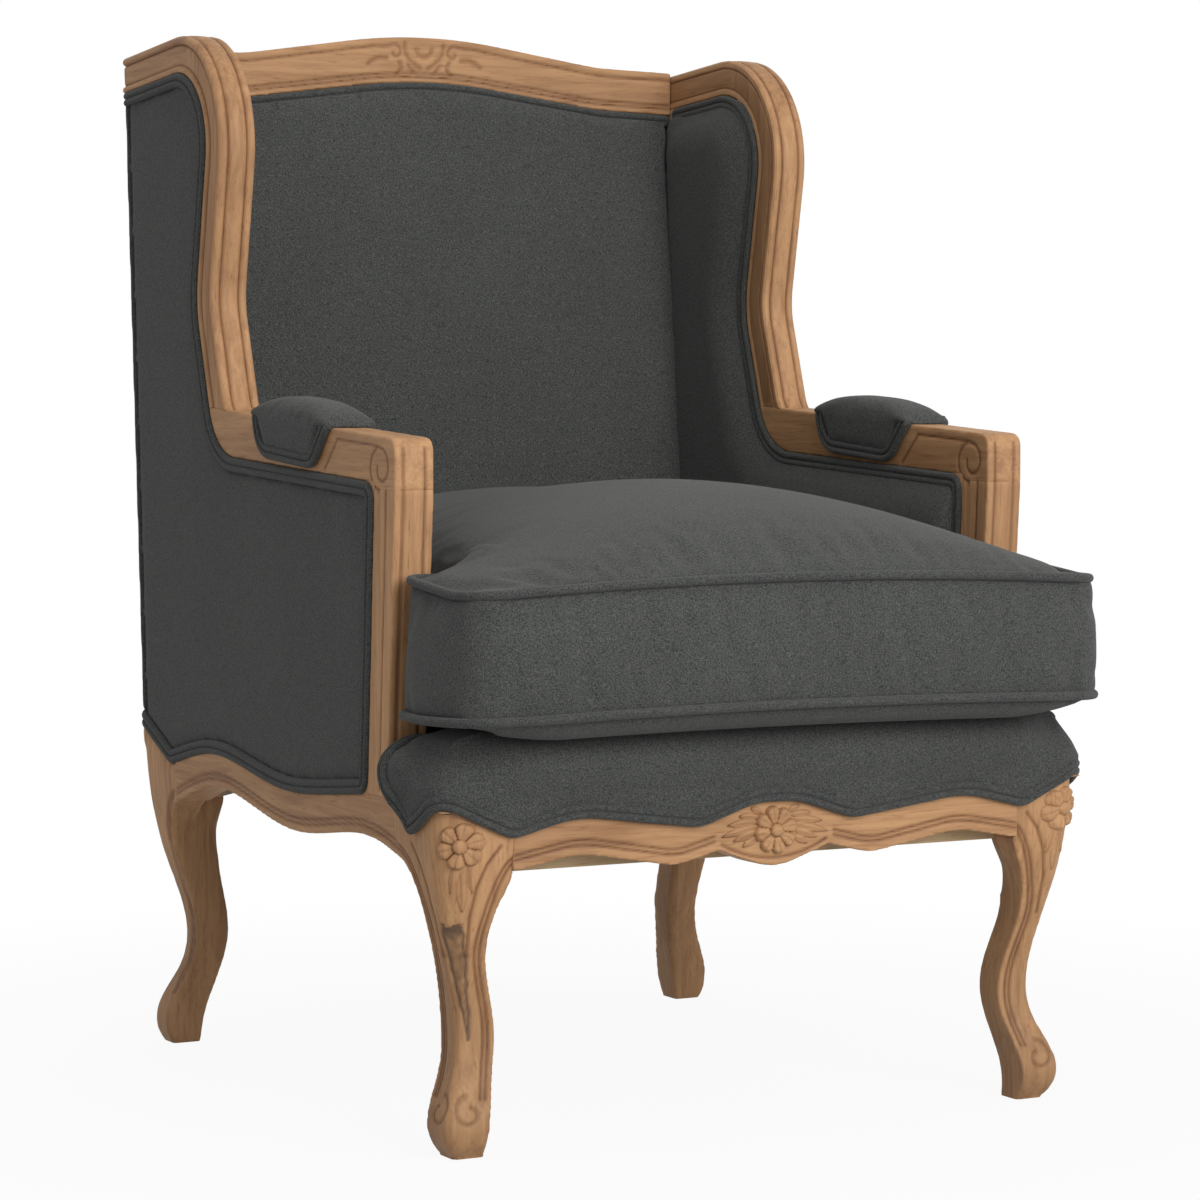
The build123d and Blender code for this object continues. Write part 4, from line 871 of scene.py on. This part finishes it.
def dressed(material, *nodes):
    """Gives CAD nodes that are shown as they are their material."""
    for node in nodes:
        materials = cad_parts[node].data.materials
        materials.clear()
        materials.append(material)


dressed(pale_x, "lower_back_rail", "seat_batten_rear", "corner_blocks", "seat_frame_dowels", "back_dowels")
dressed(pale_y, "back_post_left", "back_post_right", "seat_batten_left", "seat_batten_right", "arm_dowels")
batten = copy_of("seat_batten_front")
for vert in batten.verts:
    vert.co.x = math.copysign(BATTEN_END, vert.co.x)
piece(batten, "seat_batten_front_wood", "chair", ["seat_batten_front"], pale_x, sharp=35)

# Cloth: the upholstery is charcoal twill woven from mixed grey threads, so it looks heathered from near.
# One node group gives colour and relief; the cord cloth of the welts is a shade darker.
twill, twill_in, twill_out = node_group("heather_twill", "ShaderNodeTree", (
    ("Dark", "INPUT", "Color"), ("Pale", "INPUT", "Color"),
    ("Color", "OUTPUT", "Color"), ("Height", "OUTPUT", "Float"),
))
on_cloth = added(twill, "ShaderNodeTexCoord").outputs["Object"]
threads = added(twill, "ShaderNodeTexNoise", {
    "Vector": on_cloth, "Scale": 820, "Detail": 3, "Roughness": 0.7,
}).outputs["Fac"]
cloudy = added(twill, "ShaderNodeTexNoise", {"Vector": on_cloth, "Scale": 9, "Detail": 2}).outputs["Fac"]
ribs = added(twill, "ShaderNodeTexWave", {
    "Vector": on_cloth, "Scale": 110, "Distortion": 1.2, "Detail": 1,
}, wave_type="BANDS", bands_direction="DIAGONAL").outputs["Fac"]
pale_threads = ranged(twill, threads, From_Min=0.40, From_Max=0.62)
uneven = ranged(twill, cloudy, To_Min=0.88, To_Max=1.10)
woven = blended(twill, pale_threads, twill_in["Dark"], twill_in["Pale"])
twill.links.new(dimmed(twill, woven, uneven), twill_out["Color"])
twill.links.new(calculated(twill, "MULTIPLY_ADD", ribs, 0.6, pale_threads), twill_out["Height"])


def cloth(name, dark, pale):
    """A cloth woven from threads of two shades."""
    material, shader = new_material(name, roughness=0.92, specular=0.15)
    shader["Sheen Weight"].default_value = 0.12
    tree = material.node_tree
    weave = added(tree, "ShaderNodeGroup", {"Dark": (*dark, 1), "Pale": (*pale, 1)}, node_tree=twill).outputs
    surfaced(tree, shader, weave["Color"], weave["Height"], strength=0.35, distance=0.0008)
    return material


charcoal = cloth("charcoal_twill", (0.027, 0.031, 0.031), (0.100, 0.101, 0.093))
cord_cloth = cloth("charcoal_cord", (0.026, 0.030, 0.030), (0.094, 0.095, 0.088))

# Webbing under the deck, the black dust cloth below it, and the screws of the corner blocks.
# The webbing is woven jute; the dust cloth is thin and stapled flat under the seat.
steel, screw_shader = new_material("zinc_screws", roughness=0.38, specular=0.5)
screw_shader["Base Color"].default_value = (0.52, 0.52, 0.54, 1)
screw_shader["Metallic"].default_value = 1
dressed(cloth("jute_webbing", (0.20, 0.13, 0.06), (0.36, 0.26, 0.14)), "seat_webbing")
dressed(cloth("dust_cloth", (0.010, 0.010, 0.010), (0.028, 0.028, 0.028)), "dust_cover")
dressed(steel, "corner_block_screws")

# Tight upholstery: cloth over padding, tacked to the frame, its raw edges tucked under the welts.
# The inside pads, the deck and the arm pads are stuffed; the outside panels lie over a thin sheet of wadding.
INSIDE_FACE = 0.2892
PANEL_TURN = WING_TURN + 0.004
DECK_SIDE, DECK_FRONT = 0.305, -0.34
ARM_PAD_REAR, ARM_PAD_FRONT = 0.040, -0.118
SLACK = 0.02


def tucked(node, voxel, passes, flat_axis, tuck):
    """A pad whose edges reach under the welts that cover them."""
    pad = worn(node, voxel, passes)
    pad.normal_update()
    moves = []
    for vert in pad.verts:
        edge = vert.normal.copy()
        edge[flat_axis] = 0
        if edge.length > 0.75:
            moves.append((vert, edge.normalized() * tuck))
    for vert, move in moves:
        vert.co += move
    return pad


def stuffed(work, name, held, cap, pressure):
    """Swells a closed cloth form with pressure; held points stay, and none moves further than the cap."""
    mesh = bpy.data.meshes.new(name + "_form")
    work.to_mesh(mesh)
    form = placed(name + "_form", mesh)
    before = [v.co.copy() for v in mesh.vertices]
    seam = form.vertex_groups.new(name="seam")
    for index, co in enumerate(before):
        if held(co):
            seam.add([index], 1, "REPLACE")
    filling = form.modifiers.new("swell", "CLOTH")
    filling.collision_settings.use_collision = False
    stuff = filling.settings
    stuff.quality = 4
    stuff.mass = 0.25
    stuff.tension_stiffness = 12
    stuff.compression_stiffness = 12
    stuff.shear_stiffness = 5
    stuff.bending_stiffness = 0.6
    stuff.use_pressure = True
    stuff.uniform_pressure_force = pressure
    stuff.shrink_min = -SLACK
    stuff.vertex_group_mass = "seam"
    stuff.pin_stiffness = 1
    stuff.effector_weights.gravity = 0
    for moment in range(1, 21):
        bpy.context.scene.frame_set(moment)
    graph = bpy.context.evaluated_depsgraph_get()
    after = [v.co.copy() for v in form.evaluated_get(graph).data.vertices]
    bpy.context.scene.frame_set(1)
    bpy.data.objects.remove(form)
    bpy.data.meshes.remove(mesh)
    work.verts.ensure_lookup_table()
    for index, vert in enumerate(work.verts):
        move = after[index] - before[index]
        if move.length > 0:
            move *= cap * math.tanh(move.length / cap) / move.length
        vert.co = before[index] + move
    return work


turn_back = (Vector(OPENING[0]) - Vector(OPENING[1])).normalized()
turn_ahead = (Vector(OPENING[2]) - Vector(OPENING[1])).normalized()
turn_reach = WING_TURN / math.sin(turn_back.angle(turn_ahead) / 2)
turn_middle = Vector(OPENING[1]) + (turn_back + turn_ahead).normalized() * turn_reach


def cut_to_wing(work):
    """Trims the upper front corner of a side's cloth to the round corner of the wing."""
    for vert in work.verts:
        away = vert.co.yz - turn_middle
        if away.x < 0 and away.y > 0 and away.length > PANEL_TURN:
            away *= PANEL_TURN / away.length
            vert.co.y, vert.co.z = turn_middle + away


def upholstered(work, node, ending, sharp, body="chair"):
    """Shows a pad or panel in its cloth."""
    shown = piece(work, node + ending, body, [node], charcoal, sharp)


for node in ("outside_side_left", "outside_side_right"):
    panel = tucked(node, voxel=0.004, passes=2, flat_axis=0, tuck=0.004)
    cut_to_wing(panel)
    for vert in panel.verts:
        share = ramp(vert.co.z, 0.40, 0.34)
        if HEM_FRONT < vert.co.y < HEM_REAR:
            vert.co.z += hem_shift(vert.co.y) * share
        if vert.co.y > 0.335 + (vert.co.z - 0.305) * 0.0626 and abs(vert.normal.x) < 0.6:
            vert.co.y += 0.008
        if vert.co.y > 0.36 and vert.co.z > 0.915:
            vert.co.z += 0.006
    upholstered(panel, node, "_panel", sharp=60)
panel = tucked("outside_back", voxel=0.004, passes=2, flat_axis=1, tuck=0.001)
for vert in panel.verts:
    if vert.co.z > 0.90:
        vert.co.z += 0.010 * ramp(abs(vert.co.x), 0.25, 0.28)
upholstered(panel, "outside_back", "_panel", sharp=60)

wing_edge = near_tree(wing_line)
for node in ("inside_side_left", "inside_side_right"):
    pad = tucked(node, voxel=0.006, passes=3, flat_axis=0, tuck=0.004)
    cut_to_wing(pad)
    for vert in pad.verts:
        thick = INSIDE_FACE - abs(vert.co.x)
        if thick > 0:
            edge = wing_edge.find((vert.co.y, vert.co.z, 0))[2]
            full = 0.15 + 0.85 * math.sin(ramp(edge, 0.010, 0.055) * math.pi / 2)
            full = max(full, ramp(vert.co.y, 0.318, 0.348))
            vert.co.x = math.copysign(INSIDE_FACE - thick * full, vert.co.x)
    upholstered(pad, node, "_pad", sharp=70)
pad = tucked("inside_back", voxel=0.006, passes=3, flat_axis=1, tuck=0.007)
upholstered(pad, "inside_back", "_pad", sharp=70)

# The deck's lower edge reaches under its welt; its borders swell, and its front corners are drawn in.
deck = worn("seat_deck", voxel=0.005, passes=2)
deck.normal_update()
for vert in deck.verts:
    if vert.normal.z < -0.4 and (abs(vert.co.x) > 0.300 or vert.co.y < -0.330):
        vert.co.z -= 0.007
deck.normal_update()
for vert in deck.verts:
    level = ramp(vert.co.z, 0.312, 0.362)
    corner = ramp(abs(vert.co.x), 0.26, 0.30) * ramp(vert.co.y, -0.292, -0.322)
    rear = ramp(vert.co.y, -0.300, -0.280) if vert.co.y < -0.24 else 0
    if abs(vert.co.x) > DECK_SIDE or vert.co.y < DECK_FRONT:
        flat = Vector((vert.normal.x, vert.normal.y, 0))
        vert.co += flat * (0.007 * math.sin(math.pi * level) * (1 - corner) * (1 - rear))
        vert.co -= flat * (0.024 * corner * max(level - 0.2, 0))
    if abs(vert.co.x) > DECK_SIDE:
        full = math.sin(math.pi * ramp(vert.co.z, 0.288, 0.370))
        vert.co.x += math.copysign(0.0075 * rear * full, vert.co.x)
        vert.co.y += 0.006 * rear
    vert.co.z -= 0.010 * ramp(abs(vert.co.x), 0.285, 0.325) * ramp(vert.co.z, 0.335, 0.365)
upholstered(deck, "seat_deck", "_pad", sharp=70)


def on_arm(co):
    """Whether a point of an arm pad lies on the arm, where it is tacked."""
    return co.z < arm_height(co.y) + 0.0015


for side, sign in SIDES:
    node = "arm_pad_" + side
    pad = worn(node, voxel=0.0026, passes=4)
    # Its lower edges reach under the welts, its ends are drawn in and blunt, and its top is rounded.
    pad.normal_update()
    for vert in pad.verts:
        if vert.normal.z < -0.4 and vert.co.z < arm_height(vert.co.y) - 0.004:
            vert.co.z -= 0.005
    for vert in pad.verts:
        lift = vert.co.z - arm_height(vert.co.y)
        cut = max(1 - (abs(vert.co.y + 0.0385) / 0.1265) ** 2, 0.12)
        if vert.co.y > ARM_PAD_REAR:
            vert.co.y = ARM_PAD_REAR + (vert.co.y - ARM_PAD_REAR) * 0.30
        elif vert.co.y < 0:
            vert.co.y *= 0.885
        if vert.co.y < ARM_PAD_FRONT:
            vert.co.y = ARM_PAD_FRONT + (vert.co.y - ARM_PAD_FRONT) * 0.30
        if lift > 0:
            from_middle = min(abs(vert.co.y + 0.036) / 0.092, 1)
            broad = abs(abs(vert.co.x) - 0.308) / 0.027
            blunt = 0.80 * (1 - from_middle ** 3) ** 0.6 / cut
            lift *= min(blunt, 2.2) * (1 - 0.25 * broad ** 3)
        vert.co.z = arm_height(vert.co.y) + lift
    pad = stuffed(pad, node, held=on_arm, cap=0.006, pressure=5)
    smoothed(pad, pad.verts, 0.5, passes=6)
    upholstered(pad, node, "_cover", sharp=70)

# Double welts: two cords in one strip of cloth, glued over the tacks along every border of the upholstery.
# A Geometry Nodes tree runs a round cord along each path; at its ends the strip turns back on itself.
CORD = 0.0036
CORD_APART = 0.0033
WELT_INSET = 0.0068
WELT_FACE = 0.3262
LAPPED = 0.022
CORNER_BEND, CORNER_INSET = 0.012, 0.010
cord_tree, cord_in, cord_out = node_group("covered_cord", "GeometryNodeTree", (
    ("Path", "INPUT", "Geometry"), ("Cord Radius", "INPUT", "Float"), ("Cloth", "INPUT", "Material"),
    ("Cord", "OUTPUT", "Geometry"),
))
path = added(cord_tree, "GeometryNodeMeshToCurve", {"Mesh": cord_in["Path"]}).outputs["Curve"]
section = added(cord_tree, "GeometryNodeCurvePrimitiveCircle", {
    "Resolution": 12, "Radius": cord_in["Cord Radius"],
}).outputs["Curve"]
cord = added(cord_tree, "GeometryNodeCurveToMesh", {"Curve": path, "Profile Curve": section}).outputs["Mesh"]
cord = added(cord_tree, "GeometryNodeSetShadeSmooth", {"Geometry": cord}).outputs["Geometry"]
cord = added(cord_tree, "GeometryNodeRealizeInstances", {"Geometry": cord}).outputs["Geometry"]
cord = added(cord_tree, "GeometryNodeSetMaterial", {
    "Geometry": cord, "Material": cord_in["Cloth"],
}).outputs["Geometry"]
cord_tree.links.new(cord, cord_out["Cord"])


def covered_cord(node, loops, radius=CORD, body="chair", ending="_cords"):
    """A piece made of cords that follow closed loops of points."""
    name = node + ending
    points, edges = [], []
    for loop in loops:
        first = len(points)
        points += loop
        edges += [(first + i, first + (i + 1) % len(loop)) for i in range(len(loop))]
    mesh = bpy.data.meshes.new(name + "_path")
    mesh.from_pydata(points, edges, [])
    track = placed(name + "_path", mesh)
    sewn = track.modifiers.new("cord", "NODES")
    sewn.node_group = cord_tree
    values = {"Cord Radius": radius, "Cloth": cord_cloth}
    for socket in cord_tree.interface.items_tree:
        if socket.in_out == "INPUT" and socket.name in values:
            sewn[socket.identifier] = values[socket.name]
    piece(result_of(track), name, body, [node], cord_cloth, sharp=80)


def strip(line):
    """The closed line of a double welt's two cords, from its middle line."""
    left, right = beside(line, CORD_APART), beside(line, -CORD_APART)
    ends = []
    for tip, before in ((line[-1], line[-2]), (line[0], line[1])):
        way = (tip - before).normalized()
        aside = Vector((-way.y, way.x))
        turns = [t * math.pi / 6 for t in range(1, 6)]
        ends.append([tip + (aside * math.cos(t) + way * math.sin(t)) * CORD_APART for t in turns])
    return left + ends[0] + right[::-1] + ends[1]


def rear_plane(z):
    """The place of the outside back at a height; it leans to the rear."""
    return 0.350 + (z - 0.305) * 0.062589


def round_corner(sign, x, y, z):
    """A place on the outside of the chair, led round its rear corner when it lies past it."""
    start = rear_plane(z) - CORNER_INSET
    past = y - start
    quarter = CORNER_BEND * math.pi / 2
    if past <= 0:
        return Vector((sign * x, y, z))
    if past < quarter:
        angle = past / CORNER_BEND
        turned_in = CORNER_BEND * (1 - math.cos(angle))
        return Vector((sign * (x - turned_in), start + CORNER_BEND * math.sin(angle), z))
    return Vector((sign * (x - CORNER_BEND - (past - quarter)), start + CORNER_BEND, z))


lapped = [Vector(p) for p in OPENING]
lapped[0] += (lapped[0] - lapped[1]).normalized() * LAPPED
lapped[-1] += (lapped[-1] - lapped[-2]).normalized() * LAPPED
border = rounded(lapped, [WING_TURN, 0.1102, 0.0679, 0.016, 0.016, 0.160, 0.115, 0.020])
border = beside(border, WELT_INSET)
for p in border:
    if p.y < 0.36 and HEM_FRONT < p.x < HEM_REAR:
        p.y += hem_shift(p.x)
inside_border = [p for p in border if p.x < 0.348 and (p.y > 0.375 or p.x < -0.19)]
below_seat = next((i for i, p in enumerate(inside_border) if p.y < 0.40), len(inside_border))
outside_strip = strip(border)
inside_strip = strip(inside_border[:below_seat])
for side, sign in SIDES:
    covered_cord("outside_welt_" + side, [[round_corner(sign, WELT_FACE, p.x, p.y) for p in outside_strip]])
    covered_cord("inside_welt_" + side, [[Vector((sign * INSIDE_FACE, p.x, p.y)) for p in inside_strip]])
back_top = arched(crest_low, -0.0072)
back_foot = [Vector((x / 100, 0.331)) for x in range(30, -31, -1)]
inside_back = strip([p for p in back_top if abs(p.x) < 0.283])
covered_cord("inside_back_welt", [[Vector((p.x, 0.3612, p.y)) for p in inside_back]])
covered_cord("outside_back_welts", [
    [Vector((p.x, rear_plane(p.y) - 0.0012, p.y)) for p in strip(line)] for line in (back_top, back_foot)
])

# Deck welt: the same double welt along the lower border of the seat deck, from one arm post to the other.
# Its line is drawn unrolled, as height over the run from the middle, and then laid round the front corners.
DECK_TURN, DECK_X, DECK_Y = 0.024, 0.3340, -0.3558
DECK_PEAK, DECK_PEAK_RADIUS = 0.036, 0.09
ROLL, ROLL_HEIGHT = 0.026, 0.334
deck_front = rounded(
    [(0.3373, 0.312), (0.2632, 0.278), (0.200, 0.2942), (0.078, 0.278), (0.0, 0.3044)], [0.022, 0.12, 0.045]
)
deck_side = rounded(
    [(-0.352, 0.305), (-0.300, 0.278), (-0.2620, 0.322), (-0.2605, 0.378)], [0.010, 0.040], 0.002
)
straight = DECK_X - DECK_TURN
turned = straight + DECK_TURN * math.pi / 2
side_start = DECK_Y + DECK_TURN
corner_low = height_at(deck_front, straight)
corner_rise = height_at(deck_side, side_start) - corner_low
unrolled = []
for i in range(int(turned / 0.003) + 1):
    run = i * 0.003
    if run < straight:
        lift = height_at(deck_front, run)
        if run < DECK_PEAK:
            lift -= (DECK_PEAK - run) ** 2 / (2 * DECK_PEAK_RADIUS)
    else:
        t = (run - straight) / (turned - straight)
        lift = corner_low + corner_rise * t + 0.0085 * math.sin(math.pi * t)
    unrolled.append(Vector((run, lift)))
unrolled += [Vector((turned + p.x - side_start, p.y)) for p in deck_side if p.x > side_start + 0.001]
unrolled = softened(unrolled, 2)
unrolled = [Vector((-p.x, p.y)) for p in unrolled[:0:-1]] + unrolled


def round_deck(p):
    """A place on the deck's border from its run along the border and its height."""
    run, sign = abs(p.x), math.copysign(1, p.x)
    if run < straight:
        return Vector((p.x, DECK_Y, p.y))
    if run < turned:
        angle = (run - straight) / DECK_TURN
        x = straight + DECK_TURN * math.sin(angle)
        return Vector((sign * x, DECK_Y + DECK_TURN * (1 - math.cos(angle)), p.y))
    side_y = side_start + run - turned
    over = max(p.y - ROLL_HEIGHT, 0) / ROLL
    full = 0.011 * ramp(side_y, -0.300, -0.280) * math.sin(math.pi * ramp(p.y, 0.288, 0.370))
    x = DECK_X + full - ROLL * (1 - math.cos(over))
    return Vector((sign * x, side_y, min(p.y, ROLL_HEIGHT) + ROLL * math.sin(over)))


covered_cord("deck_welt", [[round_deck(p) for p in strip(beside(unrolled, WELT_INSET))]])

# Arm pad welts: two single cords round each pad, down one side of the arm, under it and up the other.
# They are thinner than the double welts and glued over the pad's tacked edge.
ARM_CORD = 0.0034
ARM_OUTSIDE, ARM_INSIDE = 0.3305, 0.2855
lap = rounded([
    (0.0475, arm_height(0.047) - 0.001), (0.038, arm_height(0.038) - 0.0375),
    (-0.0895, arm_height(-0.0895) - 0.0396), (-0.1225, arm_height(-0.122) - 0.001),
], [0.036, 0.030], 0.002)
for side, sign in SIDES:
    loops = []
    for shift in (-0.0030, -0.0096):
        run = beside(lap, shift)
        outer_run = [Vector((sign * ARM_OUTSIDE, p.x, p.y)) for p in run]
        loops.append(outer_run + [Vector((sign * ARM_INSIDE, p.x, p.y)) for p in run[::-1]])
    covered_cord("arm_pad_welt_" + side, loops, radius=ARM_CORD)

# Loose seat cushion: a boxed T cushion, filled until its top crowns, with a piping sewn into each seam.
# Its form is swelled as stuffed cloth held at the two seams, so the boxing rounds out between them.
SEAM_LOW, SEAM_HIGH = 0.3813, 0.4893
CUSHION_CORNER = 0.030
CUSHION_HALF, CUSHION_FRONT, CUSHION_REAR = 0.315, -0.399, 0.272
EAR_REAR, BODY_HALF = -0.268, 0.261
HANG_FRONT = -0.362
PIPING = 0.0042
half_plan = [
    (0, CUSHION_FRONT), (CUSHION_HALF, CUSHION_FRONT), (CUSHION_HALF, EAR_REAR), (BODY_HALF, EAR_REAR),
    (BODY_HALF, CUSHION_REAR),
]
plan = half_plan + [(-x, y) for x, y in half_plan[:0:-1]] + [(-0.001, CUSHION_FRONT)]
outline = rounded(plan, [CUSHION_CORNER, 0.014, 0.010, 0.022, 0.022, 0.010, 0.014, CUSHION_CORNER], 0.004)


def front_part(y):
    """How much a place belongs to the free front of the cushion, from 0 behind the posts to 1."""
    return ramp(y, -0.262, -0.312)


def middle_part(x):
    """How near a place is to the middle of the cushion's width, from 0 at its sides to 1."""
    return 1 - min(abs(x) / CUSHION_HALF, 1) ** 2


def seam_height(x, y):
    """The upper seam rises to the middle of the front and at the ears' rear ends."""
    ear = ramp(y, -0.36, -0.27) if y < -0.255 else 0
    return SEAM_HIGH + 0.010 * middle_part(x) * ramp(y, -0.30, -0.36) + 0.009 * ear * (abs(x) > 0.24)


def foot_height(x, y):
    """The lower seam is drawn up a little in the middle of the front."""
    return SEAM_LOW + (0.001 + 0.006 * middle_part(x)) * ramp(y, -0.33, -0.38)


def ear_part(x, y):
    """How much a place belongs to the outer side of one of the cushion's ears."""
    return ramp(abs(x), 0.285, 0.310) if y < -0.25 else 0


def boxing_swell(level, x, y):
    """How far the boxing stands out of the cut outline: more at the foot than at the top."""
    free = front_part(y)
    out = (0.35 + 0.65 * free) * (0.0035 * math.sin(math.pi * level) ** 0.8 + 0.008 * (1 - level) * free)
    apex = math.exp(-((abs(x) - 0.306) ** 2 + (y + 0.390) ** 2) / 0.03 ** 2)
    return out + ear_part(x, y) * (0.004 + 0.005 * (1 - level)) - apex * (0.003 + 0.009 * (1 - level))


cushion = worn("seat_cushion", voxel=0.0072, passes=2)
for vert in cushion.verts:
    dx, dy = rounded_off(CUSHION_HALF - abs(vert.co.x), vert.co.y - CUSHION_FRONT, CUSHION_CORNER)
    vert.co.x = math.copysign(CUSHION_HALF - dx, vert.co.x)
    vert.co.y = CUSHION_FRONT + dy
cushion.normal_update()
outer = near_tree(outline)
outward = []
for before, after in zip(outline[-1:] + outline, outline[1:] + outline[:1]):
    way = (after - before).normalized()
    outward.append(Vector((way.y, -way.x, 0)))
# Each point moves with the seams and swells with the boxing; underneath, the front hangs down a little.
moves = []
for vert in cushion.verts:
    x, y, z = vert.co
    _, index, edge = outer.find((x, y, 0))
    near = max(1 - edge / 0.05, 0)
    shift = Vector((0, 0, 0))
    if edge < 0.03:
        flat = Vector((vert.normal.x, vert.normal.y, 0))
        shift = flat * (boxing_swell(ramp(z, SEAM_LOW, SEAM_HIGH), x, y) + 0.004 * ear_part(x, y))
    shift.z += (seam_height(x, y) - SEAM_HIGH) * near * ramp(z, SEAM_HIGH - 0.03, SEAM_HIGH)
    foot_near = max(1 - edge / 0.09, 0)
    shift.z += (foot_height(x, y) - SEAM_LOW) * foot_near * ramp(z, SEAM_LOW + 0.05, SEAM_LOW)
    if z < SEAM_LOW - 0.002 and edge < 0.03:
        shift -= outward[index] * (SEAM_LOW - 0.002 - z) * 1.5 * near * front_part(y)
    if z < SEAM_LOW and y < HANG_FRONT:
        run_in = ramp(abs(x), 0.322, 0.222)
        hang = min((HANG_FRONT - y) / 0.012, 1) * (1 - math.cos(run_in * math.pi)) / 2
        shift.z -= 0.010 * hang * min((SEAM_LOW - z) / 0.009, 1)
    moves.append(shift)
for vert, shift in zip(cushion.verts, moves):
    vert.co += shift
top_line, foot_line = [], []
for point, out in zip(outline, outward):
    top = point + out.xy * (boxing_swell(1, point.x, point.y) + 0.0026)
    foot = point + out.xy * (boxing_swell(0, point.x, point.y) + 0.0030)
    top_line.append(Vector((top.x, top.y, seam_height(point.x, point.y))))
    foot_line.append(Vector((foot.x, foot.y, foot_height(point.x, point.y))))
seams = near_tree(top_line + foot_line)


def sewn_at(co):
    """Whether a point of the cushion is held: at its seams and underneath."""
    under = co.z < 0.3735 or (co.z < 0.392 and outer.find((co.x, co.y, 0))[2] > 0.016)
    return under or seams.find(co)[2] < 0.0065


cushion = stuffed(cushion, "seat_cushion", held=sewn_at, cap=0.010, pressure=4.5)
smoothed(cushion, cushion.verts, 0.5)
bmesh.ops.subdivide_edges(cushion, edges=cushion.edges, cuts=1, use_grid_fill=True, smooth=0.6)
upholstered(cushion, "seat_cushion", "_pad", sharp=80, body="cushion")
for node, line in (("cushion_piping_top", top_line), ("cushion_piping_bottom", foot_line)):
    covered_cord(node, [line], radius=PIPING, body="cushion", ending="_cord")

# Studio: a white floor and surround that the camera sees as plain white, lit by three soft area lamps.
# The floor keeps a trace of the chair's shadow; the lamps stand in front, above and to the left.
WHITE = (1, 1, 1, 1)
GREY = (0.5, 0.5, 0.5, 1)
FLOOR_HALF = 6


def seen_plainly(tree):
    """One for rays from the camera, off metal or through glass, which see plain white."""
    path = added(tree, "ShaderNodeLightPath").outputs
    seen = path["Is Camera Ray"]
    for kind in ("Is Glossy Ray", "Is Transmission Ray"):
        seen = calculated(tree, "MAXIMUM", seen, path[kind])
    return seen


floor_mesh = bpy.data.meshes.new("floor")
floor_corners = [(x * FLOOR_HALF, y * FLOOR_HALF, 0) for x, y in ((-1, -1), (1, -1), (1, 1), (-1, 1))]
floor_mesh.from_pydata(floor_corners, [], [(0, 1, 2, 3)])
paper, paper_shader = new_material("paper", roughness=0.9, specular=0.5)
paper_shader["Base Color"].default_value = GREY
tree = paper.node_tree
on_floor = added(tree, "ShaderNodeTexCoord").outputs["Object"]
away = added(tree, "ShaderNodeVectorMath", {0: on_floor}, operation="LENGTH").outputs["Value"]
fade = ranged(tree, away, From_Min=0.45, From_Max=1.3, To_Min=0.93, To_Max=1.0)
floor_look = added(tree, "ShaderNodeMixShader", {
    "Fac": calculated(tree, "MULTIPLY", seen_plainly(tree), fade),
    1: tree.nodes["Principled BSDF"].outputs["BSDF"],
    2: added(tree, "ShaderNodeEmission", {"Color": WHITE}).outputs["Emission"],
}).outputs["Shader"]
tree.links.new(floor_look, tree.nodes["Material Output"].inputs["Surface"])
floor_mesh.materials.append(paper)
placed("floor", floor_mesh)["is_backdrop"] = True

world = bpy.data.worlds.new("surround")
bpy.context.scene.world = world
world.use_nodes = True
tree = world.node_tree
sky = tree.nodes["Background"]
sky.inputs["Color"].default_value = WHITE
sky.inputs["Strength"].default_value = 0.52
sky_look = added(tree, "ShaderNodeMixShader", {
    "Fac": seen_plainly(tree),
    1: sky.outputs["Background"],
    2: added(tree, "ShaderNodeBackground", {"Color": WHITE}).outputs["Background"],
}).outputs["Shader"]
tree.links.new(sky_look, tree.nodes["World Output"].inputs["Surface"])

for name, where, size, power in (
    ("key_light", (0.3, -3.5, 1.75), 2.2, 96),
    ("top_light", (-0.1, -1.1, 2.6), 1.2, 6),
    ("fill_light", (-3.2, -1.6, 1.8), 2.5, 2),
):
    lamp = bpy.data.lights.new(name, "AREA")
    lamp.size = size
    lamp.energy = power
    light = placed(name, lamp)
    light.location = where
    light.rotation_euler = (Vector((0, 0, 0.5)) - Vector(where)).to_track_quat("-Z", "Y").to_euler()

# Camera: it stands where the photo was taken from, worked out from the chair's symmetry.
# It looks down a little, with a long lens from about three and a half metres away.
CAMERA_DOWN, CAMERA_TURN = 3.3, -28.04
lens = bpy.data.cameras.new("camera")
lens.sensor_width = 36
lens.lens = 112.86
lens.clip_end = 50
camera = placed("camera", lens)
camera.location = (-1.702, -3.217, 0.668)
camera.rotation_euler = (math.radians(90 - CAMERA_DOWN), 0, math.radians(CAMERA_TURN))
bpy.context.scene.camera = camera
bpy.context.scene.view_settings.view_transform = "Standard"

low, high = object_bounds()
